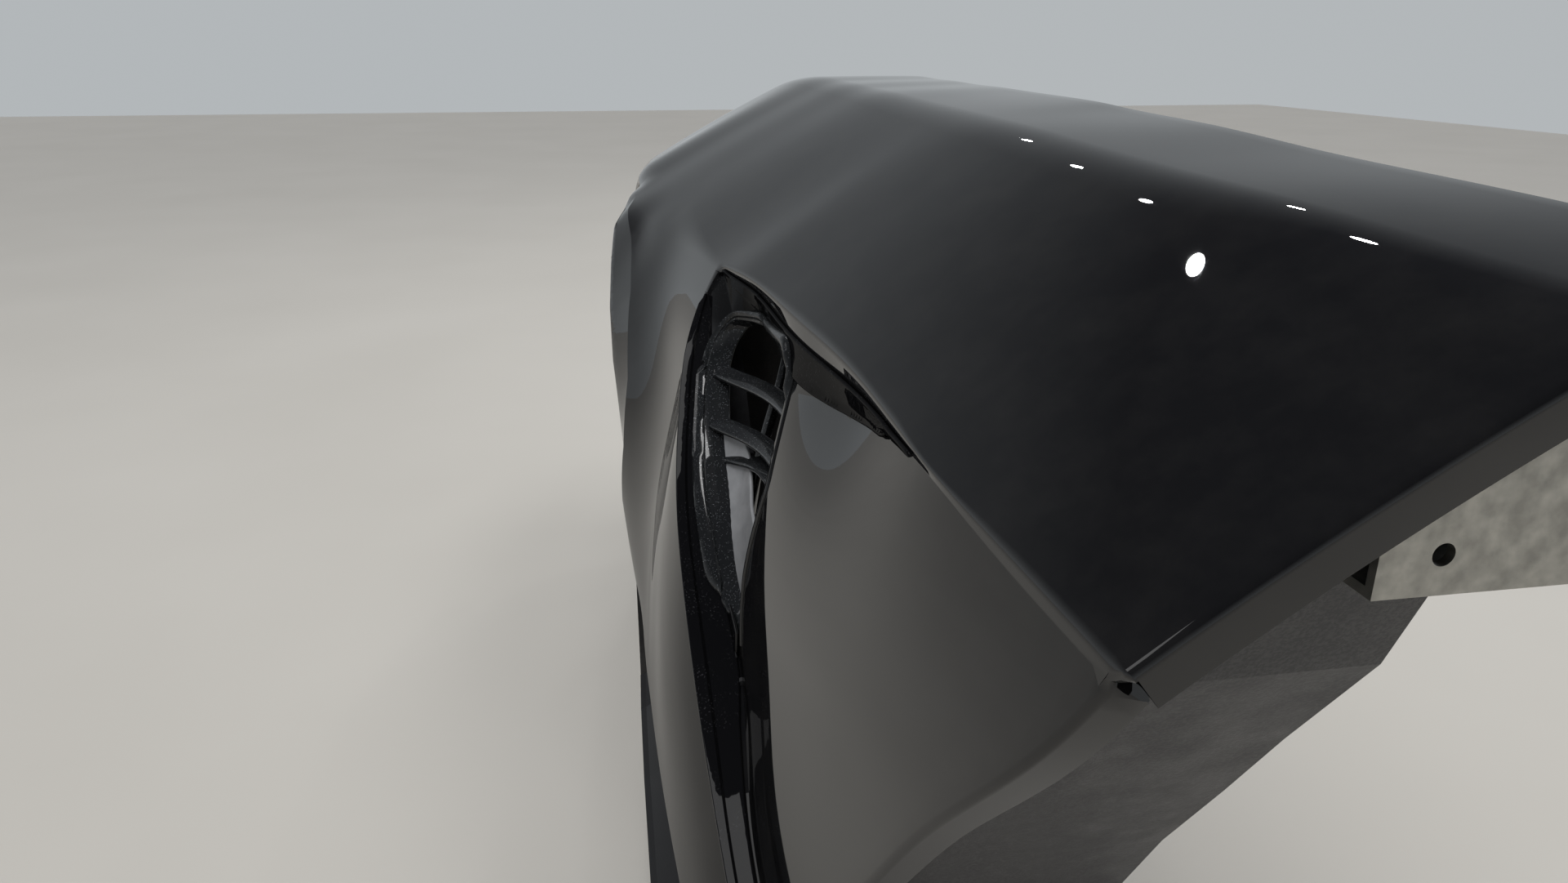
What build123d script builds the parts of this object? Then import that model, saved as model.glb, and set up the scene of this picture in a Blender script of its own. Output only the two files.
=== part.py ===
from build123d import *
import math
import os

# Left front fender of a sports car, with its louvred side vent, wheelhouse
# liner, brackets and the front length of the sill blade.
# The shapes are drawn in car coordinates, in mm: X forward from the front
# axle, Y outboard from the car's centreline, Z up from the floor. At the end
# each piece moves so that the middle of the hood gutter's bolt row is the
# origin.

# Panel
skin = 3.0
seat_gap = 0.3
flange_depth = 20.0
arch_flange_depth = 18.0
sill_flange_width = 32.0
crest_radius = 18.0
shoulder_radius = 7.0
crown_y = 520.0

# Wheel opening
axle_height = 327.0
arch_radius = 375.0

# Feature lines of the painted skin, one row per section, from the hood edge
# at crown_y outboard and down.
# Front sections, ahead of the vent:
# x, crown_z, crest_y, crest_z, shoulder_y, shoulder_z,
# brow_y, brow_z, flank_y, flank_z, hip_y, hip_z, lower_y
front_sections = (
    (430, 772, 655, 766, 850, 650, 865, 625, 880, 590, 895, 540, 905),
    (300, 806, 668, 803, 880, 690, 890, 668, 906, 615, 914, 552, 914),
    (200, 823, 671, 821, 893, 702, 898, 690, 903, 670, 907, 644, 910),
    (100, 831, 670, 830, 899, 708, 901, 702, 903, 697, 905, 688, 912),
    (0, 834, 667, 832, 907, 714, 908, 710, 909, 706, 910, 702, 926),
    (-75, 833, 665, 830, 899, 710, 904, 705, 911, 700, 918, 694, 930),
    (-150, 833, 663, 829, 892, 706, 900, 700, 925, 688, 943, 671, 935),
    (-225, 832, 661, 827, 884, 702, 900, 687, 925, 665, 952, 627, 940),
    (-300, 832, 659, 826, 876, 698, 893, 676, 930, 621, 955, 552, 940),
    (-400, 831, 657, 823, 865, 692, 888, 642, 912, 570, 943, 455, 938),
    (-520, 830, 654, 820, 852, 688, 879, 632, 896, 565, 922, 450, 938),
)

# Rear sections, through the vent and back to the door:
# x, crown_z, crest_y, crest_z, shoulder_y, shoulder_z, eave_y, eave_z,
# scoop_y, scoop_z, belly_y, belly_z, foot_y, foot_z, ledge_y, ledge_z,
# flank_y, flank_z, hip_y, hip_z, lower_y
rear_sections = (
    (-520, 830, 654, 820, 852, 688, 850, 681, 854, 675, 858, 668, 861, 662,
     865, 660, 893, 577, 922, 450, 938),
    (-570, 829, 653, 819, 844, 691, 838, 674, 850, 656, 861, 641, 869, 628,
     887, 621, 905, 545, 925, 435, 937),
    (-620, 827, 652, 818, 836, 692, 827, 667, 842, 640, 862, 612, 878, 584,
     899, 576, 914, 510, 927, 420, 936),
    (-690, 825, 650, 816, 827, 692, 825, 656, 846, 600, 866, 545, 884, 520,
     908, 512, 920, 450, 929, 385, 934),
    (-760, 823, 649, 813, 819, 692, 824, 652, 850, 580, 868, 505, 873, 444,
     907, 436, 918, 393, 926, 345, 931),
    (-880, 817, 644, 808, 810, 688, 805, 661, 846, 570, 864, 475, 878, 368,
     899, 359, 908, 335, 916, 308, 924),
    (-1000, 813, 635, 803, 805, 681, 804, 676, 839, 570, 856, 470, 872, 322,
     891, 314, 899, 302, 907, 288, 916),
    (-1100, 809, 626, 796, 798, 679, 799, 672, 832, 570, 848, 470, 866, 310,
     884, 302, 891, 293, 899, 282, 909),
    (-1204, 803, 617, 789, 790, 676, 791, 669, 824, 570, 840, 470, 859, 300,
     877, 292, 884, 286, 892, 279, 902),
)

lower_edge_drop = 11.0
lower_z = rear_sections[-1][19] - lower_edge_drop

# Side outline of the panel, x and z, from the top of the door seam down
door_seam = (
    (-1204, 690), (-1180, 630), (-1130, 557), (-1090, 495), (-1040, 420), (-1000, 350),
    (-985, 240),
)
bumper_seam_angle = math.radians(28.35)
bumper_seam = (
    (arch_radius * math.cos(bumper_seam_angle), axle_height + arch_radius * math.sin(bumper_seam_angle)),
    (440, 560),
)
arch_centre_cut = (0, 400)
arch_rear_cut = (-300, 240)

# How far the cutting shapes reach, past the highest and widest skin
outline_top = 1.08 * max(r[1] for r in front_sections)
outboard_limit = 1.05 * max(r[10] for r in front_sections)
front_end = front_sections[0][0]
rear_end = rear_sections[-1][0]

# Headlamp notch, x and y, seen from above
lamp_notch = (
    (450, 470), (450, 812), (400, 806), (300, 745), (222, 682), (206, 660), (222, 642), (330, 570),
    (352, 470),
)
lamp_floor = 655.0

# Vent opening, x and z, seen from the side, from its front point
vent_opening = (
    (-545, 664), (-620, 661), (-745, 646), (-775, 575), (-770, 500), (-776, 446), (-735, 470),
    (-690, 523), (-620, 588), (-575, 636),
)

# Hood gutter
gutter_drop = 11.0
gutter_bolt_inset = 16.0
gutter_edge = 16.0
gutter_middle = -400.0
gutter_pitch = 160.0
gutter_bolts = 8
gutter_hole = 7.0
gutter_lead = 25.0
gutter_overhang = 62.0
gutter_top = rear_sections[-1][1] - gutter_drop
gutter_bolt_y = crown_y - gutter_bolt_inset
gutter_inboard = gutter_bolt_y - gutter_edge
cabin_side = gutter_inboard - gutter_edge / 2
seal_offset = 6.0
seal_width = 7.0
seal_height = 14.0
seal_setback = 10.0
stop_radius = 6.0
stop_height = 15.0
stop_offset = 4.0

# Vent surround, grille and duct
bezel_thickness = 3.0
bezel_rim = 5.5
bezel_rim_share = 0.55
grille_gap = 0.5
grille_tip_setback = 18.0
grille_rim = 4.0
grille_rim_depth = 24.0
grille_front = 3.0
strut_front = 8.0
strut_back = 28.0
louvre_front = 7.0
louvre_back = 34.0
louvre_levels = (600, 566, 532)
louvre_thickness = 4.0
louvre_rise = 45.0
blank_depth = 5.0
blank_thickness = 3.0
blank_centre = (-690, 866, 545)
blank_sweep = 0.109
blank_lean = -0.169
blank_outline = (
    (-622, 604), (-650, 594), (-690, 563), (-725, 538), (-800, 522), (-800, 400), (-622, 400),
)
strut_outline = ((-716, 655), (-709, 655), (-741, 470), (-748, 470))
duct_outline = (
    (-545, 640), (-556, 672), (-790, 664), (-790, 418), (-768, 418), (-692, 488), (-624, 552),
    (-562, 614),
)
duct_wall = 2.5
duct_depth = 80.0
duct_inlet_front = (-690, -540, 480, 640)
duct_inlet_margin = 10.0
duct_inlet_width = 58.0
duct_back = rear_sections[0][4] - duct_depth
vent_inboard = duct_back - 32.0
grille_tip = duct_outline[0][0] - grille_tip_setback

# Wheelhouse liner: a crown that stands over the wheel opening, then a slope to its rim
liner_wall = 2.5
liner_inboard = 600.0
liner_crown_rise = 43.0
liner_crown_edge = 790.0
liner_rim_start = 865.0
liner_reach = 100.0
liner_split = 1.0

# Inner structure
doubler_thickness = 2.0
doubler_inboard = 585.0
doubler_width = 80.0
doubler_front = 150.0
doubler_back = -1150.0
closing_offset = 36.0
closing_wall = 2.5
closing_inboard = 640.0
bracket_plate = 4.0
pillar_hole = 9.0
upper_bracket_width = 130.0
upper_bracket_offset = 18.0
upper_bracket_rise = 20.0
upper_bracket_lip = 48.0
upper_bolt_pitch = 80.0
upper_bolt_rise = 16.0
lower_bracket_setback = 2.0
lower_bracket_reach = 115.0
lower_bracket_lip = 29.0
lower_bolt_pitch = 50.0
lower_bolt_inset = 22.0
lower_bolt_rise = 45.0
bumper_rail_width = 22.0
bumper_rail_thickness = 4.0
bumper_rail_inset = (16, 30)
lamp_shelf_drop = 27.0
lamp_shelf_gap = 36.4
lamp_shelf_setback = 6.0
lamp_shelf_inboard = 700.0
lamp_pad = (30, 36, 2)
lamp_pad_inset = 60.0

# Sill: mud guard and blade
guard_wall = 3.0
guard_inboard = 700.0
guard_outboard = 942.0
guard_top_angle = 82.0
guard_end_angle = 119.0
blade_lead = 17.0
blade_thickness = 4.0
skirt_wall = 3.0
skirt_tuck = 16.0
# x, blade edge y, blade edge z
blade_edge = (
    (-arch_radius - blade_lead, 943, 186), (-440, 945, 172), (-560, 947, 168), (-760, 948, 168),
    (-980, 949, 168),
)


def turn_arc(before, corner, after, radius, x):
    """A rounded corner of a section: its two tangent points and the arc's middle."""
    ay, az = before[0] - corner[0], before[1] - corner[1]
    by, bz = after[0] - corner[0], after[1] - corner[1]
    al, bl = math.hypot(ay, az), math.hypot(by, bz)
    ay, az, by, bz = ay / al, az / al, by / bl, bz / bl
    half = math.acos(max(-1.0, min(1.0, ay * by + az * bz))) / 2
    run = radius / math.tan(half)
    my, mz = ay + by, az + bz
    ml = math.hypot(my, mz)
    dip = radius / math.sin(half) - radius
    start = (x, corner[0] + ay * run, corner[1] + az * run)
    middle = (x, corner[0] + my / ml * dip, corner[1] + mz / ml * dip)
    end = (x, corner[0] + by * run, corner[1] + bz * run)
    return start, middle, end


def rounded_wire(x, loop, radii):
    """Closed section at a station, with an arc at each corner that has a radius."""
    corners = []
    for i, corner in enumerate(loop):
        if radii.get(i):
            corners.append(turn_arc(loop[i - 1], corner, loop[(i + 1) % len(loop)], radii[i], x))
        else:
            corners.append(((x, corner[0], corner[1]),))
    edges = []
    for here, ahead in zip(corners, corners[1:] + corners[:1]):
        if len(here) == 3:
            edges.append(Edge.make_three_point_arc(*here))
        edges.append(Edge.make_line(here[-1], ahead[0]))
    return Wire(edges)


def inset(points, depth):
    """The same open outline, moved inboard by a wall thickness."""
    lines = []
    for (y0, z0), (y1, z1) in zip(points, points[1:]):
        length = math.hypot(y1 - y0, z1 - z0)
        ny = (z1 - z0) / length * depth
        nz = -(y1 - y0) / length * depth
        lines.append((y0 + ny, z0 + nz, y1 - y0, z1 - z0))
    moved = [(lines[0][0], lines[0][1])]
    for (ay, az, ady, adz), (by, bz, bdy, bdz) in zip(lines, lines[1:]):
        cross = ady * bdz - adz * bdy
        if abs(cross) < 1e-6 * math.hypot(ady, adz) * math.hypot(bdy, bdz):
            moved.append((by, bz))
            continue
        t = ((by - ay) * bdz - (bz - az) * bdy) / cross
        moved.append((ay + t * ady, az + t * adz))
    y, z, dy, dz = lines[-1]
    moved.append((y + dy, z + dz))
    return moved


def outline_of(row):
    """Outer section outline as (y, z) points, from the hood edge to the sill."""
    x, crown_z = row[0], row[1]
    lower_y = row[-1]
    pairs = row[2:-1]
    points = [(crown_y, crown_z)]
    points += [(pairs[i], pairs[i + 1]) for i in range(0, len(pairs), 2)]
    points.append((lower_y, lower_z))
    points.append((lower_y - sill_flange_width, lower_z))
    return x, points


def wall_wire(row):
    """Closed thin section of the skin, rounded inside at the shoulder alone."""
    x, points = outline_of(row)
    loop = points + inset(points, skin)[::-1]
    radii = {1: crest_radius, 2: shoulder_radius, len(loop) - 3: shoulder_radius - skin}
    return rounded_wire(x, loop, radii)


def solid_wire(row, depth):
    """Closed section of everything inboard of the skin at a depth."""
    x, points = outline_of(row)
    edge = inset(points, depth) if depth else points
    loop = edge + [(cabin_side, edge[-1][1]), (cabin_side, edge[0][1])]
    radii = {2: shoulder_radius - depth} if depth else {1: crest_radius, 2: shoulder_radius}
    return rounded_wire(x, loop, radii)


def shell():
    front = Solid.make_loft([wall_wire(r) for r in front_sections], ruled=True)
    rear = Solid.make_loft([wall_wire(r) for r in rear_sections], ruled=True)
    return front + rear


def body(depth):
    front = Solid.make_loft([solid_wire(r, depth) for r in front_sections], ruled=True)
    rear = Solid.make_loft([solid_wire(r, depth) for r in rear_sections], ruled=True)
    return front + rear


def side_prism(points, y0, y1):
    """A shape seen from the side, x and z, extruded across the car."""
    face = Face(Wire.make_polygon([(x, y0, z) for x, z in points], close=True))
    return extrude(face, amount=y1 - y0, dir=(0, 1, 0))


def plan_prism(points, z0, z1):
    """A shape seen from above, x and y, extruded upwards."""
    face = Face(Wire.make_polygon([(x, y, z0) for x, y in points], close=True))
    return extrude(face, amount=z1 - z0, dir=(0, 0, 1))


def block(x0, x1, y0, y1, z0, z1):
    return Pos((x0 + x1) / 2, (y0 + y1) / 2, (z0 + z1) / 2) * Box(x1 - x0, y1 - y0, z1 - z0)


def axle_disc(radius, y0, y1):
    disc = Cylinder(radius, y1 - y0, align=(Align.CENTER, Align.CENTER, Align.MIN))
    return Pos(0, y0, axle_height) * Rot(-90, 0, 0) * disc


def rear_row_at(x):
    """Rear section at any station, between its two neighbours in the table."""
    for near, far in zip(rear_sections, rear_sections[1:]):
        if far[0] <= x <= near[0]:
            share = (x - near[0]) / (far[0] - near[0])
            return tuple(a + share * (b - a) for a, b in zip(near, far))
    return rear_sections[-1]


def lifted(a, b, along, height):
    """A point along the run from a to b, stood off the skin by a height."""
    length = math.hypot(b[0] - a[0], b[1] - a[1])
    ny = -(b[1] - a[1]) / length
    nz = (b[0] - a[0]) / length
    return a[0] + along * (b[0] - a[0]) + ny * height, a[1] + along * (b[1] - a[1]) + nz * height


def section_loft(sections):
    wires = [Wire.make_polygon([(x, y, z) for y, z in loop], close=True) for x, loop in sections]
    return Solid.make_loft(wires, ruled=True)


def place(shape):
    """From car coordinates to the middle of the gutter's bolt row."""
    return Pos(-gutter_middle, -gutter_bolt_y, -(gutter_top - skin)) * shape


def write(name, shape):
    placed = place(shape)
    print(name, len(placed.solids()), round(placed.volume / 1000, 1), placed.is_valid)
    export_step(placed, "parts/" + name + ".step")


os.makedirs("parts", exist_ok=True)

outer_body = body(0)
cavity = body(skin + seat_gap)
edge_layer = outer_body - Pos(0, -flange_depth, -flange_depth * 0.7) * outer_body
arch_layer = outer_body - Pos(0, -arch_flange_depth, 0) * outer_body

panel_outline = (
    list(door_seam) + [arch_rear_cut, arch_centre_cut] + list(bumper_seam)
    + [(bumper_seam[-1][0], outline_top), (door_seam[0][0], outline_top)]
)
outline_prism = side_prism(panel_outline, cabin_side, outboard_limit)
vent_prism = side_prism(vent_opening, vent_inboard, outboard_limit)


def seam_strip(points, thickness):
    """A strip along a seam seen from the side, on its forward or upper face."""
    (x0, z0), (x1, z1) = points[0], points[-1]
    length = math.hypot(x1 - x0, z1 - z0)
    nx, nz = -(z1 - z0) / length, (x1 - x0) / length
    inner = [(x + nx * thickness, z + nz * thickness) for x, z in points]
    return side_prism(list(points) + inner[::-1], cabin_side, outboard_limit)


def fender_panel():
    """Painted skin with its gutter, return flanges and vent opening."""
    painted = shell() & outline_prism
    painted -= axle_disc(arch_radius, liner_inboard, outboard_limit)
    painted -= plan_prism(lamp_notch, lamp_floor, outline_top)
    painted -= vent_prism
    arch_ring = axle_disc(arch_radius + skin, liner_inboard, outboard_limit)
    arch_ring -= axle_disc(arch_radius, liner_inboard, outboard_limit)
    painted += arch_ring & arch_layer & outline_prism
    door_line = [(door_seam[0][0], outline_top)] + list(door_seam)
    painted += seam_strip(door_line, skin) & edge_layer & outline_prism
    painted += seam_strip(bumper_seam[::-1], skin) & edge_layer & outline_prism
    painted += gutter()
    return painted


def gutter_line():
    """Hood edge heights over the gutter's length, as x and z."""
    front = gutter_middle + gutter_pitch * (gutter_bolts - 1) / 2 + gutter_lead
    back = gutter_middle - gutter_pitch * (gutter_bolts - 1) / 2 - gutter_overhang
    rows = [(r[0], r[1]) for r in front_sections + rear_sections[1:]]
    inside = [(x, z) for x, z in rows if back < x < front]

    def height(x):
        for (xa, za), (xb, zb) in zip(rows, rows[1:]):
            if xb <= x <= xa:
                return za + (zb - za) * (x - xa) / (xb - xa)

    return [(front, height(front))] + inside + [(back, height(back))]


def gutter():
    line = gutter_line()
    front, back = line[0][0], line[-1][0]
    wall_points = [(x, z - 1) for x, z in line] + [(back, gutter_top - skin), (front, gutter_top - skin)]
    wall = side_prism(wall_points, crown_y - skin / 2, crown_y + skin / 2)
    floor = block(back, front, gutter_inboard, crown_y + skin / 2, gutter_top - skin, gutter_top)
    channel = wall + floor
    for i in range(gutter_bolts):
        x = gutter_middle + (i - (gutter_bolts - 1) / 2) * gutter_pitch
        channel -= Pos(x, gutter_bolt_y, gutter_top) * Cylinder(gutter_hole / 2, 4 * skin)
    return channel


def vent_surround():
    """Gloss trim round the vent: an upper arm, a lower arm and the web in front."""
    upper, lower, web = [], [], []
    rows = [r for r in rear_sections if r[0] >= -1000]
    for r in rows:
        shoulder, eave, foot, ledge = (r[4], r[5]), (r[6], r[7]), (r[12], r[13]), (r[14], r[15])
        low, high = seat_gap, seat_gap + bezel_thickness
        rim = seat_gap + bezel_rim
        upper.append((r[0], [
            lifted(shoulder, eave, 0.1, low), lifted(shoulder, eave, 1, low),
            lifted(shoulder, eave, 1, high), lifted(shoulder, eave, 0.1, high),
        ]))
        share = 1 - bezel_rim_share
        lower.append((r[0], [
            lifted(foot, ledge, 0, low), lifted(foot, ledge, 1, low), lifted(foot, ledge, 1, rim),
            lifted(foot, ledge, share, rim), lifted(foot, ledge, share, high),
            lifted(foot, ledge, 0, high),
        ]))
    for x in (rear_sections[0][0], vent_opening[0][0] - seat_gap):
        r = rear_row_at(x)
        eave, foot = (r[6], r[7]), (r[12], r[13])
        low, high = seat_gap, seat_gap + bezel_thickness
        web.append((x, [
            lifted(eave, foot, -0.02, low), lifted(eave, foot, 1.02, low),
            lifted(eave, foot, 1.02, high), lifted(eave, foot, -0.02, high),
        ]))
    trim = section_loft(upper) + section_loft(lower) + section_loft(web)
    return (trim & outline_prism) - Pos(0, seat_gap / 2, 0) * outer_body


def revolved(profile, start, end):
    """A (y, radius) profile turned about the axle; angles from the top, rearward."""
    face = Face(Wire.make_polygon([(0, y, axle_height + r) for y, r in profile], close=True))
    axis = Axis((0, 0, axle_height), (0, -1, 0))
    return revolve(face.rotate(axis, start), axis, end - start)


def opening_prism(gap):
    """The vent opening as a prism behind the duct's tip, smaller all round by a gap."""
    face = Face(Wire.make_polygon([(x, vent_inboard, z) for x, z in vent_opening], close=True))
    reach = outboard_limit - vent_inboard
    prism = extrude(offset(face, -gap, kind=Kind.INTERSECTION), amount=reach, dir=(0, 1, 0))
    return prism & block(rear_end, grille_tip, vent_inboard, outboard_limit, lower_z, outline_top)


def behind_skin(shape, front, back):
    """The part of a shape between two depths behind the skin, measured across the car."""
    return (shape & Pos(0, -front, 0) * outer_body) - Pos(0, -back, 0) * outer_body


def vent_grille():
    """Moulding in the opening: a rim, a strut along its rear side and the louvres."""
    rim = opening_prism(grille_gap) - opening_prism(grille_gap + grille_rim)
    strut = side_prism(strut_outline, vent_inboard, outboard_limit)
    strut &= opening_prism(grille_gap + seat_gap)
    strut -= side_prism(blank_outline, vent_inboard, outboard_limit)
    rim = behind_skin(rim, grille_front, grille_rim_depth)
    return rim + behind_skin(strut, strut_front, strut_back) + louvres()


def grille_blank():
    """Flat closed face in the lower corner of the opening, where a badge would sit."""
    x0, y0, z0 = blank_centre
    corners = []
    for x, z in blank_outline:
        corners.append((x, y0 - blank_depth + blank_sweep * (x - x0) + blank_lean * (z - z0), z))
    face = Face(Wire.make_polygon(corners, close=True))
    plate = extrude(face, amount=blank_thickness, dir=(0, -1, 0))
    return plate & opening_prism(grille_gap + grille_rim + seat_gap)


def louvres():
    """Blades across the opening, rising inboard, from rim to rim above the blank."""
    room = opening_prism(grille_gap + grille_rim / 2)
    room -= side_prism(blank_outline, vent_inboard, outboard_limit)
    x0, x1 = duct_outline[2][0], duct_outline[0][0]
    blades = None
    for level in louvre_levels:
        top = louvre_thickness + louvre_rise
        blade_line = ((905, 0), (905, louvre_thickness), (785, top), (785, louvre_rise))
        face = Face(Wire.make_polygon([(x0, y, level + dz) for y, dz in blade_line], close=True))
        blade = behind_skin(extrude(face, amount=x1 - x0, dir=(1, 0, 0)) & room, louvre_front, louvre_back)
        blades = blade if blades is None else blades + blade
    return blades


def duct():
    """Box behind the grille, open outboard, with an inlet from the wheelhouse."""
    outer = side_prism(duct_outline, duct_back, outboard_limit)
    floor_y = duct_back + duct_wall
    face = Face(Wire.make_polygon([(x, floor_y, z) for x, z in duct_outline], close=True))
    reach = outboard_limit - floor_y
    inner = extrude(offset(face, -duct_wall, kind=Kind.INTERSECTION), amount=reach, dir=(0, 1, 0))
    x0, x1, z0, z1 = duct_inlet_front
    y0 = duct_back + duct_inlet_margin
    return ((outer - inner) & cavity) - block(x0, x1, y0, y0 + duct_inlet_width, z0, z1)


def liner(start, end):
    """Half of the wheelhouse liner, trimmed inside the skin."""
    rim_radius = arch_radius + skin + seat_gap
    crown_radius = arch_radius + liner_crown_rise
    inner = [
        (liner_inboard, crown_radius), (liner_crown_edge, crown_radius),
        (liner_rim_start, rim_radius), (outboard_limit, rim_radius),
    ]
    outer = [(y, r + liner_wall) for y, r in inner]
    return revolved(inner + outer[::-1], start, end) & cavity


def liner_front_x(z):
    """How far forward the outer face of the liner's crown reaches at a height."""
    radius = arch_radius + liner_crown_rise + liner_wall
    return math.sqrt(radius ** 2 - (z - axle_height) ** 2)


def crest_doubler():
    """Sheet bonded under the crest for most of the fender's length."""
    outboard = doubler_inboard + doubler_width
    band = block(doubler_back, doubler_front, doubler_inboard, outboard, lamp_floor, outline_top)
    return (band & cavity) - Pos(0, 0, -doubler_thickness) * cavity


def closing_panel():
    """Curved wall across the car, ahead of the door seam."""
    shifted = [(x + closing_offset, z) for x, z in [(door_seam[0][0], outline_top)] + list(door_seam)]
    reach = block(2 * rear_end, 0, closing_inboard, outboard_limit, 0, outline_top)
    return seam_strip(shifted, closing_wall) & cavity & reach


def pillar_bolt(x, y, z):
    return Pos(x, y, z) * Rot(0, 90, 0) * Cylinder(pillar_hole / 2, 4 * bracket_plate)


def upper_pillar_bracket():
    """Angle behind the door seam's flange, bolted to the hinge pillar."""
    back = door_seam[0][0] + skin + seat_gap
    front = door_seam[0][0] + closing_offset - seat_gap
    middle = rear_sections[-1][2] + upper_bracket_offset
    y0, y1 = middle - upper_bracket_width / 2, middle + upper_bracket_width / 2
    z0 = rear_sections[-1][5] + upper_bracket_rise
    plate = block(back, back + bracket_plate, y0, y1, z0, z0 + upper_bolt_rise + upper_bracket_lip)
    shelf = block(back, front, y0, y1, z0, z0 + bracket_plate)
    for side in (-1, 1):
        plate -= pillar_bolt(back, middle + side * upper_bolt_pitch / 2, z0 + upper_bolt_rise)
    return (plate + shelf) & cavity


def seam_x_at(z):
    """Where the door seam is at a height."""
    for (xa, za), (xb, zb) in zip(door_seam, door_seam[1:]):
        if zb <= z <= za:
            return xa + (xb - xa) * (za - z) / (za - zb)


def lower_pillar_bracket():
    """Angle standing on the sill flange, bolted to the foot of the hinge pillar."""
    z0 = lower_z + skin + seat_gap
    back = door_seam[-1][0] + lower_bracket_setback
    front = seam_x_at(z0 + bracket_plate) + closing_offset - seat_gap
    y0 = lower_y_at(back) - sill_flange_width - lower_bracket_reach
    shelf = block(back, front, y0, outboard_limit, z0, z0 + bracket_plate)
    top = z0 + lower_bolt_rise + lower_bracket_lip
    plate = block(back, back + bracket_plate, y0, outboard_limit, z0, top)
    for side in (0, 1):
        y = y0 + lower_bolt_inset + side * lower_bolt_pitch
        plate -= pillar_bolt(back, y, z0 + lower_bolt_rise)
    return (shelf + plate) & cavity


def bumper_rail():
    """Moulded rail along the bumper seam, behind its flange."""
    (xa, za), (xb, zb) = bumper_seam
    slope = (zb - za) / (xb - xa)
    lift = skin + seat_gap
    steep = math.hypot(1, slope)
    ends = (xb - bumper_rail_inset[0], xa + bumper_rail_inset[1])
    line = [(x, za + (x - xa) * slope + lift * steep) for x in ends]
    return (seam_strip(line, bumper_rail_thickness) & cavity) - Pos(0, -bumper_rail_width, 0) * cavity


def lamp_shelf():
    """Aluminium shelf under the headlamp notch, with the pad that a lug of the lamp sits on."""
    level = lamp_floor - lamp_shelf_drop
    top = level + bracket_plate
    front = front_end - lamp_shelf_setback
    back = liner_front_x(level) + lamp_shelf_gap
    plate = block(back, front, lamp_shelf_inboard, outboard_limit, level, top) & cavity
    length, width, height = lamp_pad
    x, y = (front + back) / 2, lamp_shelf_inboard + lamp_pad_inset
    return plate + block(x - length / 2, x + length / 2, y - width / 2, y + width / 2, top, top + height)


def mud_guard():
    """Short wall behind the wheel, below the liner."""
    r0 = arch_radius + skin + 2 * seat_gap + liner_wall
    r1 = r0 + guard_wall
    profile = ((guard_inboard, r0), (guard_outboard, r0), (guard_outboard, r1), (guard_inboard, r1))
    return revolved(profile, guard_top_angle, guard_end_angle) - outer_body


def sill_blade():
    """Skirt under the sill flange, flared out to the blade at its foot."""
    sections = []
    for x, edge_y, edge_z in blade_edge:
        flange_y = lower_y_at(x)
        top = lower_z - seat_gap
        outer = [
            (flange_y - sill_flange_width, top), (flange_y - 3, top), (flange_y - skirt_tuck, top - 22),
            (flange_y - skirt_tuck - 4, edge_z + 16), (edge_y - 6, edge_z + 2), (edge_y, edge_z),
        ]
        inner = [
            (edge_y, edge_z - blade_thickness), (edge_y - 22, edge_z - 5),
            (flange_y - skirt_tuck - 12, edge_z + 2), (flange_y - skirt_tuck - 7, top - 24),
            (flange_y - 10, top - skirt_wall),
            (flange_y - sill_flange_width, top - skirt_wall),
        ]
        sections.append((x, outer + inner))
    return section_loft(sections)


def lower_y_at(x):
    rows = [(r[0], r[-1]) for r in front_sections + rear_sections[1:]]
    for (xa, ya), (xb, yb) in zip(rows, rows[1:]):
        if xb <= x <= xa:
            return ya + (yb - ya) * (x - xa) / (xb - xa)


def hood_seal():
    """Rubber strip along the gutter, outboard of its bolts."""
    line = gutter_line()
    y0 = gutter_bolt_y + seal_offset
    front, back = line[0][0] - seal_setback, line[-1][0] + seal_setback
    return block(back, front, y0, y0 + seal_width, gutter_top, gutter_top + seal_height)


def hood_bumpers():
    """Two rubber stops on the gutter, between its bolts."""
    stops = []
    for side in (-1, 1):
        x = gutter_middle + side * 2 * gutter_pitch
        stop = Cylinder(stop_radius, stop_height, align=(Align.CENTER, Align.CENTER, Align.MIN))
        stops.append(Pos(x, gutter_bolt_y - stop_offset, gutter_top) * stop)
    return Compound(stops)


pieces = {
    "fender_panel": fender_panel(),
    "vent_surround": vent_surround(),
    "vent_grille": vent_grille(),
    "grille_blank": grille_blank(),
    "vent_duct": duct(),
    "liner_front": liner(-liner_reach, -liner_split),
    "liner_rear": liner(0, liner_reach),
    "crest_doubler": crest_doubler(),
    "closing_panel": closing_panel(),
    "upper_pillar_bracket": upper_pillar_bracket(),
    "lower_pillar_bracket": lower_pillar_bracket(),
    "bumper_rail": bumper_rail(),
    "lamp_shelf": lamp_shelf(),
    "mud_guard": mud_guard(),
    "sill_blade": sill_blade(),
    "hood_seal": hood_seal(),
    "hood_bumpers": hood_bumpers(),
}

for name, piece in pieces.items():
    write(name, piece)
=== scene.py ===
import math
import bpy
import numpy as np
from mathutils import Matrix, Vector
from mathutils.geometry import delaunay_2d_cdt


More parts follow.
